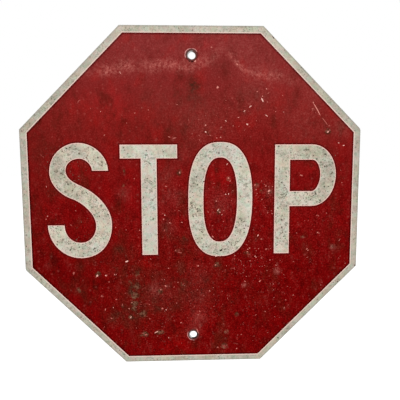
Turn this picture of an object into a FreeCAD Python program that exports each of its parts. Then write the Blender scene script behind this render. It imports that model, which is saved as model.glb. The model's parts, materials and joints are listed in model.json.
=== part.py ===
"""Stop sign: one octagonal plate of aluminium sheet with two punched bolt holes.

The frame is the sign's own, in millimetres. The sign stands upright: X runs to the right of
someone who reads the face, Z is up, and the face looks towards -Y. The origin is on the flat
back, midway between the two bolt holes, so the back lies on Y = 0 and the face on Y = -sheet_t.
"""
import FreeCAD, Part
import math
import os

# The sheet
across_flats = 457.2      # 18 in between any two opposite edges
sheet_t = 2.03            # .080 in sheet
edge_roll_r = 0.35        # the shear rolls the outer edge down on the face side

# The corners of the octagon: sheared nearly sharp, but for two that wear has rounded
corner_r = 2.0
worn_corner_r = 6.5
worn_corners = ("right upper", "left lower")

# The two bolt holes, one above the other on the centre line
hole_d = 9.525            # 3/8 in, for a 5/16 in bolt
hole_margin = 38.1        # 1 1/2 in from the sheet's top or bottom edge to the hole's centre
rim_roll_w = 1.5          # the punch draws the face in round the hole: width on the face
rim_roll_t = 0.8          # and depth into the sheet

FACEWARDS = FreeCAD.Vector(0, -1, 0)


def octagon_corners():
    """The eight corners of the regular octagon, clockwise: each a place and a radius."""
    half_width = across_flats / 2
    half_side = half_width * math.tan(math.radians(22.5))
    places = {
        "top left": (-half_side, half_width),
        "top right": (half_side, half_width),
        "right upper": (half_width, half_side),
        "right lower": (half_width, -half_side),
        "bottom right": (half_side, -half_width),
        "bottom left": (-half_side, -half_width),
        "left lower": (-half_width, -half_side),
        "left upper": (-half_width, half_side),
    }
    corners = []
    for name, (x, z) in places.items():
        radius = worn_corner_r if name in worn_corners else corner_r
        corners.append((FreeCAD.Vector(x, 0, z), radius))
    return corners


def rounded_corner(before, at, after, radius):
    """The arc that rounds the corner `at`: its start, its middle and its end.

    The arc starts and ends radius * tan(turn / 2) from the corner. Its middle is on the line
    that halves the corner, radius * (1 / cos(turn / 2) - 1) from it.
    """
    into = (at - before).normalize()
    out = (after - at).normalize()
    half_turn = into.getAngle(out) / 2
    setback = radius * math.tan(half_turn)
    inwards = (out - into).normalize()
    middle = at + inwards * (radius * (1 / math.cos(half_turn) - 1))
    return at - into * setback, middle, at + out * setback


def sheet_outline():
    """The closed outline of the sheet's back: eight straight sides joined by eight arcs."""
    corners = octagon_corners()
    count = len(corners)
    arcs = []
    for i, (at, radius) in enumerate(corners):
        before = corners[i - 1][0]
        after = corners[(i + 1) % count][0]
        arcs.append(rounded_corner(before, at, after, radius))
    edges = []
    for i, (start, middle, end) in enumerate(arcs):
        next_start = arcs[(i + 1) % count][0]
        edges.append(Part.Arc(start, middle, end).toShape())
        edges.append(Part.LineSegment(end, next_start).toShape())
    return Part.Wire(edges)


def is_on_face_side(edge):
    """Whether the whole edge is in front of the sheet's mid-plane, as only the face's rim is."""
    return edge.BoundBox.YMax < -sheet_t / 2


def sheared_blank():
    """The sheet before punching, its outer edge rolled down on the face side."""
    sheet = Part.Face(sheet_outline()).extrude(FACEWARDS * sheet_t)
    face_edges = [edge for edge in sheet.Edges if is_on_face_side(edge)]
    return sheet.makeFillet(edge_roll_r, face_edges)


def punched_out(z):
    """What the punch takes out of the sheet at height z: the bore and its rolled rim.

    Half the section is turned about the hole's axis. The rim's curve is level with the face
    where it starts and in line with the bore where it ends. Both ends pass the sheet by its
    own thickness.
    """
    bore_r = hole_d / 2
    rim_r = bore_r + rim_roll_w
    face = -sheet_t
    before = face - sheet_t
    behind = sheet_t

    def at(radius, y):
        return FreeCAD.Vector(radius, y, z)

    rim = Part.BezierCurve()
    rim.setPoles([at(rim_r, face), at(bore_r, face), at(bore_r, face + rim_roll_t)])
    corners = [
        at(bore_r, face + rim_roll_t),
        at(bore_r, behind),
        at(0, behind),
        at(0, before),
        at(rim_r, before),
        at(rim_r, face),
    ]
    sides = [Part.LineSegment(p, q).toShape() for p, q in zip(corners, corners[1:])]
    section = Part.Face(Part.Wire([rim.toShape()] + sides))
    return section.revolve(at(0, 0), FACEWARDS, 360)


def sign_plate():
    """The whole sign: the sheared sheet with both bolt holes punched."""
    half_pitch = across_flats / 2 - hole_margin
    sheet = sheared_blank()
    for z in (half_pitch, -half_pitch):
        sheet = sheet.cut(punched_out(z))
    return sheet


def main():
    os.makedirs("parts", exist_ok=True)
    sign_plate().exportStep("parts/sign_plate.step")


main()
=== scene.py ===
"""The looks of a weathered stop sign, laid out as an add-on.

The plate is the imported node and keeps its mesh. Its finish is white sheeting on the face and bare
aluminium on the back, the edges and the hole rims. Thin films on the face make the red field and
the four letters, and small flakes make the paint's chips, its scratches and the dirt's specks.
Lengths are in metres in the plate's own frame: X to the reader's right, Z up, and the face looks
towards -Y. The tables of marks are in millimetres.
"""
import json
import math

import bmesh
import bpy
import numpy as np
from mathutils import Matrix, Vector


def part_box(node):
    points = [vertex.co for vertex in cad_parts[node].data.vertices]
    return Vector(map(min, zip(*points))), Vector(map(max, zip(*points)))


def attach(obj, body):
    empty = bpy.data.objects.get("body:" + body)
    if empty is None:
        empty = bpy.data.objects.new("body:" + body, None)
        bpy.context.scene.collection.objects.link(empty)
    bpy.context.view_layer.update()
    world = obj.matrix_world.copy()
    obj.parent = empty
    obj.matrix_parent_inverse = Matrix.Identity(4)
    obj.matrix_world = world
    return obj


bl_info = {
    "name": "Stop Sign Looks",
    "version": (1, 0, 0),
    "blender": (4, 5, 0),
    "location": "3D View > Sidebar > Stop Sign",
    "description": "Dresses the packed plate of a weathered stop sign and sets its studio",
    "category": "Object",
}

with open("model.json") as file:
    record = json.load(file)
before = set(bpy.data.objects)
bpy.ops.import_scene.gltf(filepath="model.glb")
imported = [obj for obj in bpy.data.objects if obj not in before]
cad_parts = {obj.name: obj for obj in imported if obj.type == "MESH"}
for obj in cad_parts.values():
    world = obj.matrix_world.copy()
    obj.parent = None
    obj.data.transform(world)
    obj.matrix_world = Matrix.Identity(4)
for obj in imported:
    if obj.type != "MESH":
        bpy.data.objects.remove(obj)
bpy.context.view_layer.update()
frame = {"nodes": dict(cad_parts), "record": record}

MM = 0.001
PLATE = "sign_plate"
LOW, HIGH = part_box(PLATE)
HALF = HIGH[0]
FACE_Y = LOW[1]
BOLTS = next(m["dims"] for m in frame["record"]["mounts"] if m["name"] == "bolt_holes")
HOLE_Z = BOLTS["spacing_y_mm"] / 2 * MM

# Small pale worn spots on the red: x, z, radius, strength
PALE_SPOTS = (
    (-116, 130, 2.5, 0.5), (-94, 114, 3, 0.5), (-93, 44, 2.5, 0.5), (-48, 81, 2.8, 0.6),
    (-91, 79, 2.5, 0.5), (49, 28, 2.8, 1), (89, 19, 3.2, 0.7), (107, 11, 3.4, 0.7), (152, -54, 2.8, 0.6),
    (195, -68, 4.6, 1), (117.5, -100.5, 6, 0.85), (71, -120, 4.2, 0.8), (73, -138, 3, 0.5),
    (125, -132, 3, 0.45), (47, -188, 3.6, 0.7), (9, -178, 3.2, 0.6), (-126, -133, 3, 0.6),
    (-37, -120, 3, 0.6), (-20, -71, 3.2, 0.6), (-37, -41, 3, 0.5), (62, -163, 3, 0.55), (44, -208, 4, 0.9),
    (100, -138, 4, 0.42), (-26, 82, 4, 0.55), (60, 178, 3, 0.7),
)

# Wide pale patches on the red: x, z, radius, strength
PALE_PATCHES = (
    (8, -105, 15, 0.2), (8, -140, 17, 0.2), (7, -166, 10, 0.5), (0, -184, 10, 0.4), (-53, -123, 8, 0.3),
    (-42, -130, 18, 0.15), (-54, -126, 6, 0.3), (-50, -5, 9, 0.25), (-48, 32, 9, 0.25), (20, 100, 30, 0.22),
    (78, 17, 8, 0.4), (105, 10, 7, 0.4), (18, -60, 14, 0.2), (-45, 135, 28, 0.15), (0, 190.5, 13, 0.35),
    (85, 147, 30, 0.35), (150, 104, 30, 0.3), (-27, 5, 14, 0.3), (-33, 36, 12, 0.22), (-32, -36, 12, 0.22),
    (-13, 60, 10, 0.25), (14, 13, 7, 0.3), (58, -38, 8, 0.25), (0, 118, 30, 0.15), (38, -5, 16, 0.3),
    (204, 100, 16, 0.5), (168, 148, 20, 0.35), (70, 200, 25, 0.2), (-93, 10, 9, 0.3),
)

# Brown and olive crust over the stains: x, z, reach across, reach up and down, strength
CRUSTS = (
    (-77.5, -121, 4.4, 3.8, 0.8), (-81.5, -132.5, 5.2, 3.4, 1.15), (-82, -144, 4.6, 4.4, 1),
    (-83, -152, 3.2, 3, 0.7), (-87, -114, 4, 4, 0.4), (-77, -102.6, 5, 5, 0.5), (-70, -159, 6, 6, 0.5),
    (-87, -164, 3.5, 3, 0.8), (-157.4, -124, 4.5, 4, 0.5), (-113, -166, 7, 5, 0.3), (-45, -127, 4, 5, 0.6),
    (-47, -186.5, 6, 3, 0.8), (-13, -118, 6, 9, 0.35), (33, -90.5, 4, 3, 1), (-69, -189, 5, 3.5, 1.1),
    (43, -208, 5, 4, 0.8), (-20, -70, 5, 3, 0.4), (22, 92, 9, 5, 0.3), (48.5, 28, 3.2, 3.6, 0.65),
    (87.5, 19, 4, 4, 0.75), (93, 11, 3, 3, 0.4), (105, 10, 3.2, 3, 0.6), (75, -76, 8, 6, 0.3),
    (35.5, -17, 4, 4, 0.5), (-131, -102, 4, 4, 0.6), (120, -196, 6, 4, 0.5), (-98.5, -147, 2, 5, 0.4),
    (-18, 38, 4, 7, 0.4), (-92, 38, 2.5, 5, 0.4), (-93, 20, 2.5, 4, 0.4), (151, -53, 3, 3, 0.5),
    (184, 91.5, 3.6, 3.4, 0.8), (194, -67.5, 4, 4, 0.3), (-100, -68, 5, 4, 0.15), (-12, -52, 5, 6, 0.35),
    (61, -163, 3, 4, 0.6), (46, -187, 4, 3, 0.7),
)

# Where the red stayed bright: x, z, reach across, reach up and down, strength
FRESH = (
    (12, -165, 20, 20, 0.9), (-25, -208, 24, 10, 0.9), (-80, 0, 10, 36, 0.6), (-68, -60, 12, 12, 0.5),
    (31, 35, 11, 17, 1.3), (-150, 43, 11, 9, 1.2), (-150, -32, 12, 10, 0.9), (162, 43, 6, 6, 1.4),
    (-104, 120, 26, 26, 1), (-118, 137, 12, 12, 0.7), (-150, 125, 20, 16, 0.5), (115, 140, 20, 20, 0.5),
    (206, -36, 8, 36, 0.5), (134, -62, 8, 10, 0.5), (36, -106, 20, 18, 0.55), (155, 40, 12, 10, 0.3),
    (75, 112, 14, 10, 0.3), (-58, -122, 5, 10, 0.8), (90, 0, 10, 40, 0.25), (190, -30, 15, 40, 0.15),
    (-5, -208, 14, 10, 0.7), (38, -206, 14, 8, 0.5), (-12, -86, 12, 8, 0.5), (-134, -86, 14, 10, 0.5),
    (-62, -86, 12, 9, 1.1), (-16, 165, 9, 20, 0.8), (10, 206, 18, 10, 0.9), (12, 178, 10, 14, 0.5),
    (-45, 88, 18, 10, 0.6), (-108, -54, 10, 10, 0.5), (-84, -96, 18, 22, 0.4), (-150, -118, 26, 26, 0.35),
    (-10, -190, 12, 12, 0.5), (45, 25, 8, 12, 0.8), (-12, 0, 10, 60, 0.3),
)

# Where the red stayed dark and pure: x, z, reach across, reach up and down, strength
DEEP = (
    (-212, -20, 14, 80, 0.5), (-195, -100, 34, 36, 0.65), (-150, -105, 26, 36, 0.5),
    (-108, -62, 14, 12, 0.4), (-90, -150, 22, 20, 0.3), (175, -120, 34, 36, 0.35), (84, -145, 18, 22, 0.5),
    (110, -150, 16, 18, 0.4), (-12, -40, 10, 14, 0.4), (66, -84, 12, 10, 0.4), (-208, 90, 12, 24, 0.5),
    (-158, -60, 14, 10, 1), (-156, -12, 14, 12, 0.9), (100, 10, 12, 14, 0.3), (-132, 180, 12, 10, 0.5),
    (16, -206, 10, 10, 0.4), (204, 60, 10, 14, 0.5),
)

# Brown and olive stains: x, z, reach across, reach up and down, strength
STAINS = (
    (0, 156, 9, 12, 0.9), (4, 150, 6, 9, 0.5), (-1, 138, 6, 10, 0.35), (-2, 180, 4, 4, 0.2),
    (-100, -67, 8, 7, 0.3), (-206, 80, 14, 30, 0.2), (-168, 10, 12, 10, 0.3), (75, 143, 22, 10, 0.25),
    (-82, -165, 16, 12, 0.4), (-15, 92, 12, 12, 0.2), (92, -140, 14, 12, 0.2), (-10, -122, 8, 12, 0.35),
    (-185, 50, 10, 20, 0.25), (-150, -75, 20, 8, 0.3), (5, 70, 14, 10, 0.2), (-78, -97, 8, 7, 0.35),
    (-50, -97, 10, 8, 0.2), (-82, -120, 11, 12, 0.75), (-74, -156, 9, 9, 0.8), (-113, -167, 9, 8, 0.6),
    (-155, -89, 8, 7, 0.45), (-157, -125, 7, 6, 0.7), (-11, -55, 11, 11, 0.45), (-30, 80, 10, 20, 0.15),
    (8, 130, 10, 10, 0.4), (203, -51, 6, 8, 0.5), (-40, -110, 60, 45, 0.25), (-20, 100, 55, 45, 0.2),
    (-100, -80, 30, 30, 0.2), (38, 175, 16, 12, 0.3), (-60, -140, 45, 25, 0.3), (15, -130, 20, 25, 0.25),
    (120, -210, 20, 10, 0.3), (104, 12, 10, 16, 0.35), (-95, -150, 12, 10, 0.4), (-20, -190, 12, 8, 0.3),
    (-163, 71, 6, 3, 0.5), (-177, 36, 9, 16, 0.5), (-154, -64, 8, 4, 0.4), (188, 20, 12, 24, 0.35),
    (180, 62, 16, 12, 0.3), (2, 30, 8, 12, 0.35), (14, -45, 7, 12, 0.4), (-34, 30, 7, 22, 0.35),
    (-33, -36, 7, 16, 0.35), (-30, 60, 9, 8, 0.25), (36, -71, 13, 7, 0.7), (-151, 63, 14, 8, 0.5),
    (-181, 35, 10, 18, 0.55), (-171, 12, 12, 7, 0.45), (-176, -58, 12, 12, 0.3), (-90, 68, 8, 7, 0.35),
    (-39, 65, 7, 6, 0.4), (9, 28, 9, 8, 0.4), (66, -29, 10, 9, 0.35), (157, 65, 18, 8, 0.6),
    (186, 38, 10, 18, 0.55), (133, 62, 16, 10, 0.3), (122, 20, 8, 12, 0.35), (168, 3, 14, 6, 0.3),
    (121, -48, 8, 10, 0.3), (-107, -159, 9, 7, 0.5), (-107, -96, 6, 5, 0.5), (-87, -126, 7, 7, 0.5),
    (-50, -151, 9, 8, 0.5), (-102, -67, 6, 5, 0.4), (-208, 0, 11, 65, 0.28), (-196, 75, 18, 36, 0.14),
    (-95, 84, 20, 9, 0.22), (-40, 10, 5, 14, 0.3), (-76, -180, 18, 9, 0.14), (156, 84, 40, 8, 0.12),
    (100, 130, 40, 14, 0.25), (-155, 100, 35, 22, 0.1), (184, 91.5, 5, 5, 0.9), (-64, 150, 6, 26, 0.3),
    (-150, 130, 40, 40, 0.1), (0, 130, 70, 25, 0.08),
)

# The pale band, a painted reflection where the top was bent: along its middle line, x, z, reach and
# strength
BAND = (
    (-230, 168, 8, 0), (-150, 169, 8, 0.2), (-133, 170, 8, 0.35), (-110, 171, 8, 1), (-90, 173, 8, 1.1),
    (-72, 175, 7, 0.75), (-64, 175, 7, 0.55), (-55, 175, 7, 1), (-42, 177, 7, 1.1), (-27, 177, 7, 1),
    (-11, 174, 7, 0.8), (9, 178, 8, 0.6), (28, 188, 8, 0.6), (36, 195, 7, 0.6), (42, 199, 6, 0.4),
    (50, 191, 4.5, 0.45), (55, 185, 4, 0.7), (61, 179, 4, 1), (67, 172, 4.5, 0.9), (81, 168, 5, 0.75),
    (97, 164, 6, 0.75), (119, 163, 6, 0.65), (134, 158, 7, 0.4), (150, 157, 7, 0.15), (230, 154, 7, 0),
)

# Chips down to the white sheeting: x, z, length, width, turn in degrees, brightness
CHIPS = (
    (-91, -84.5, 4, 2.2, 28, 1), (-120, -104, 2.6, 1.9, 40, 0.8), (-108, -103, 1.7, 1.4, 0, 0.7),
    (-122, -152, 3.2, 1.2, 75, 0.6), (-111, -149.5, 1.6, 1.1, 80, 0.7), (-87, -164, 3.4, 1, 62, 0.9),
    (-52, -186, 5, 1.7, 28, 0.8), (-45, -125, 3, 1.3, 60, 0.5), (-21, -115, 1.6, 1.2, 20, 0.6),
    (-38, -154, 1.8, 1.4, 10, 0.8), (-42.5, -152, 1.7, 1.1, 30, 0.5), (-17.5, -173, 1.7, 1.3, 0, 0.7),
    (-35, -194.5, 1.7, 1.3, 60, 0.7), (-34, -95, 1.8, 1.4, 40, 0.5), (-38, -21, 1.6, 1.2, 0, 0.6),
    (-40, -27, 1.3, 1, 0, 0.5), (-30, -32, 1.5, 0.9, 50, 0.6), (-19, -15, 1.4, 1, 0, 0.5),
    (-158, -14, 1.3, 1, 0, 0.5), (-196, -21, 1.6, 0.9, 80, 0.8), (-198, -25, 1.3, 0.9, 0, 0.6),
    (-196, 19, 1.8, 0.9, 85, 0.7), (-121, 118, 1.5, 1, 70, 0.8), (-76, 116, 1.4, 1.2, 0, 0.6),
    (-58, 120, 1.5, 1.2, 10, 0.6), (-20, 127, 1.6, 1.2, 0, 0.5), (-5, 107, 1.2, 1, 0, 0.4),
    (-87, 103, 1.3, 1, 0, 0.4), (-94, 168, 3, 1.1, -65, 0.8), (-17, 36, 1.8, 1.2, 30, 0.6),
    (-35.5, 18, 1.5, 1.2, 0, 0.5), (26, 201, 1.9, 1.5, 0, 0.6), (87, 144, 1.8, 1.3, 0, 0.6),
    (99.5, 147.5, 2.8, 0.8, -65, 0.7), (102, 142, 3, 0.6, 40, 0.5), (94, 133.2, 6.4, 1.5, -62, 1),
    (78, 124.5, 4.4, 1.4, 36, 0.9), (70, 118.6, 3, 1.3, 40, 0.8), (100, 112.5, 4.2, 1.1, -40, 0.9),
    (74, 101, 3, 1.8, -35, 1), (62, 110, 2.2, 1, 10, 0.7), (45, 105.5, 2.8, 1.2, -42, 0.8),
    (55, 99, 1.5, 1.1, 0, 0.6), (18, 100, 1.8, 1.5, 0, 0.7), (18, 91, 2.3, 1.7, -20, 0.9),
    (24, 86.5, 1.8, 0.9, -35, 0.6), (33, 83, 1.9, 1.4, 0, 0.6), (38, 84, 1.6, 1.4, 0, 0.7),
    (121, 139, 1.6, 1, 30, 0.5), (112, 118, 2, 0.7, 35, 0.6), (199, 76, 1.9, 1.4, -20, 0.9),
    (206, 72.5, 3.4, 1.2, 5, 0.9), (162.5, 122, 1.4, 1.1, 0, 0.5), (45, 7, 2, 1.4, 60, 0.9),
    (49, 7.5, 2.4, 1.3, 70, 0.9), (149.5, 32, 2.2, 1.4, 20, 0.6), (203, 39, 1.3, 0.9, 0, 0.5),
    (205, 22, 1.2, 0.9, 0, 0.5), (34.5, -14.5, 3.8, 1.1, 62, 0.9), (37, -17.5, 2.6, 1, -20, 0.8),
    (40, -21, 1.8, 1.1, 30, 0.7), (108, -16, 1.5, 1, 0, 0.5), (109, -20, 1.5, 1.2, 0, 0.6),
    (175, -48, 1.6, 1.1, 0, 0.5), (174, -24, 1.3, 1, 0, 0.4), (160, -72, 2, 1.3, 80, 0.6),
    (159, -82, 1.3, 1, 0, 0.5), (213, -91, 1.5, 1, 0, 0.5), (7, -92, 2.4, 2, 0, 0.6),
    (87.5, -81, 2, 1.4, 25, 0.6), (79, -86, 1.8, 1.3, 0, 0.6), (76, -69.5, 1.8, 1.1, 30, 0.6),
    (95, -82, 1.7, 1.1, 0, 0.6), (107, -85, 1.6, 1.3, 0, 0.6), (140, -88, 1.4, 1, 0, 0.5),
    (57, -96, 1.5, 1.1, 0, 0.6), (74, -108, 1.5, 1, 0, 0.5), (93, -115, 3, 1.8, 30, 0.6),
    (112, -119.5, 1.5, 1.2, 0, 0.5), (132, -123, 1.3, 1, 0, 0.4), (23, -128, 2, 1.7, 0, 0.6),
    (130, -142.5, 1.7, 1.1, 0, 0.5), (128, -154, 3, 0.8, 60, 0.6), (115, -152, 3.6, 0.7, 40, 0.4),
    (101, -159, 2.6, 0.9, -30, 0.5), (9, -157, 1.6, 1.3, 0, 0.6), (29, -150, 1.5, 1.1, 0, 0.5),
    (67.5, -192, 1.6, 1.2, 0, 0.5), (105, -190, 1.5, 1, 0, 0.4), (61, -212.5, 2, 1.5, 0, 0.6),
    (34, -210, 2.4, 1.4, 30, 0.5), (204, -58, 3.6, 0.8, 55, 0.5), (60, 179.5, 2.4, 1.6, -30, 0.6),
    (-31, 84.5, 3.4, 1, -20, 0.5), (-24, 83, 4.6, 1, 12, 0.5), (-117, 87, 2.6, 1.2, 60, 0.4),
    (4.4, 183, 3, 1.7, 72, 0.75), (49, 29, 2.6, 2, 20, 0.5), (51, 25, 2.4, 1, 60, 0.6),
    (34, 149.5, 3.6, 2.8, 80, 0.62), (31, -91, 3, 1.4, 20, 0.5), (100, 18, 2.2, 1.6, 40, 0.5),
    (104, 8, 2, 1.5, 0, 0.5), (94, 25, 1.8, 1.2, 0, 0.4), (88, 8, 1.6, 1.2, 0, 0.5),
    (109, 17, 1.6, 1.3, 0, 0.5), (30, 61, 1.6, 0.9, 40, 0.6), (47, 48, 4, 0.9, 45, 0.8),
    (-70, -30, 1.2, 0.9, 0, 0.4), (-134, 122, 1.2, 0.9, 0, 0.4), (-163.6, -100, 4, 2.4, 60, 0.3),
    (-116, -113, 2.4, 1.7, 0, 0.3), (-126.5, -133, 2.8, 1.8, 30, 0.35), (-106.6, -138, 2.8, 1.8, 0, 0.3),
    (-98.5, -146, 4, 1.1, 80, 0.3), (-89.3, -151.5, 1.8, 1.3, 0, 0.6), (-85.3, -143, 1.6, 1.3, 0, 0.6),
    (-61, -146, 2, 1.5, 0, 0.3), (-61, -166.6, 2, 1.7, 30, 0.3), (-43.4, -152, 2.4, 1.8, 30, 0.45),
    (-38.2, -120, 3.2, 2.2, -40, 0.5), (-114, -165, 3.6, 1.5, -40, 0.3), (89.8, -50.2, 3.6, 1.8, 60, 0.75),
    (94.5, -55.4, 2.6, 2, 0, 0.3), (86.1, -79.4, 2, 1.5, 30, 0.75), (101.3, -69.5, 2.8, 1.8, 30, 0.45),
    (78.3, -67.9, 1.8, 1.3, 0, 0.6), (75.2, -73, 1.8, 1.3, 0, 0.6), (31.5, -78.9, 2.8, 1.4, 10, 0.9),
    (27.3, -51.3, 3, 1.6, -40, 0.6), (133.5, -46.6, 1.6, 1.1, 0, 0.6), (147.6, 32.6, 1.9, 1.3, 0, 0.6),
    (173.1, -47, 2.4, 1.8, 0, 0.5), (184.6, -20, 1.5, 1.1, 0, 0.5), (172, -23, 3.4, 1.2, 0, 0.35),
    (158.5, -70, 2.2, 1.8, 0, 0.5), (85.1, 19.6, 3.6, 2.6, 30, 0.3), (86.7, 13.3, 2, 1.4, 0, 0.6),
    (104.4, 11.3, 3.4, 2.6, 40, 0.7), (95, -0.2, 1.6, 1.2, 0, 0.6), (-17.5, 37.3, 1.8, 1.2, 0, 0.75),
    (-36.3, 18.5, 2.2, 1.5, 0, 0.35), (-31.6, -31.5, 1.8, 1.3, 0, 0.65), (-39.9, -26.3, 1.6, 1.2, 0, 0.7),
    (-38.3, -21, 2, 1.3, 40, 0.8), (-38.9, -41.9, 3.6, 1.6, 60, 0.2), (-18, -73, 6, 1.2, -10, 0.3),
    (-24, -70, 2.6, 1.6, 60, 0.3), (-105, -37.2, 1.8, 1.4, 0, 0.3), (-165, -33.5, 3, 1.2, -30, 0.25),
    (-72.7, -41.4, 2, 1.3, -40, 0.5), (-91, -40.8, 2.4, 1, 50, 0.3), (-78.4, 29, 1.8, 1.2, 60, 0.35),
    (53, -1.8, 1.6, 1.3, 0, 0.3), (27.3, -36, 1.6, 1.1, 0, 0.4), (183.8, 91, 3, 2.3, 30, 0.8),
    (186.3, 93.2, 2, 1.4, 60, 0.4), (163, 130, 2.4, 1.7, -55, 0.55), (-131.8, -104, 3.4, 2.4, 30, 0.9),
    (-133.6, -106, 1.6, 1.1, 0, 0.5), (-66.5, -189.5, 3.4, 2, 0, 0.35), (-70.5, -187.4, 2.2, 1.4, 30, 0.3),
)

# Long fine scratches: x, z, length, width, turn, brightness, bow
SCRATCHES = (
    (168.2, 121, 20.5, 1.35, -58.5, 0.62, 0.5), (179.4, 105, 13.5, 1.2, -51.5, 0.3, 0.3),
    (185.4, 98.8, 2.8, 1.2, -20, 0.35, 0), (161.6, 120.8, 3.2, 1.1, -75, 0.3, 0),
    (-149.5, 131.6, 5.5, 1, 50, 0.3, 1.2), (5.8, -185.4, 8.4, 1.2, -68, 0.5, 0.2),
    (60, -205, 9, 0.4, -15, 0.3, 0.4), (-140, 60, 12, 0.35, 70, 0.2, 0.5),
    (135, -175, 10, 0.4, 40, 0.3, 0.5), (-200, 60, 8, 0.4, -40, 0.3, 0), (12, 214, 9, 0.4, 8, 0.25, 0.3),
)

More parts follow.
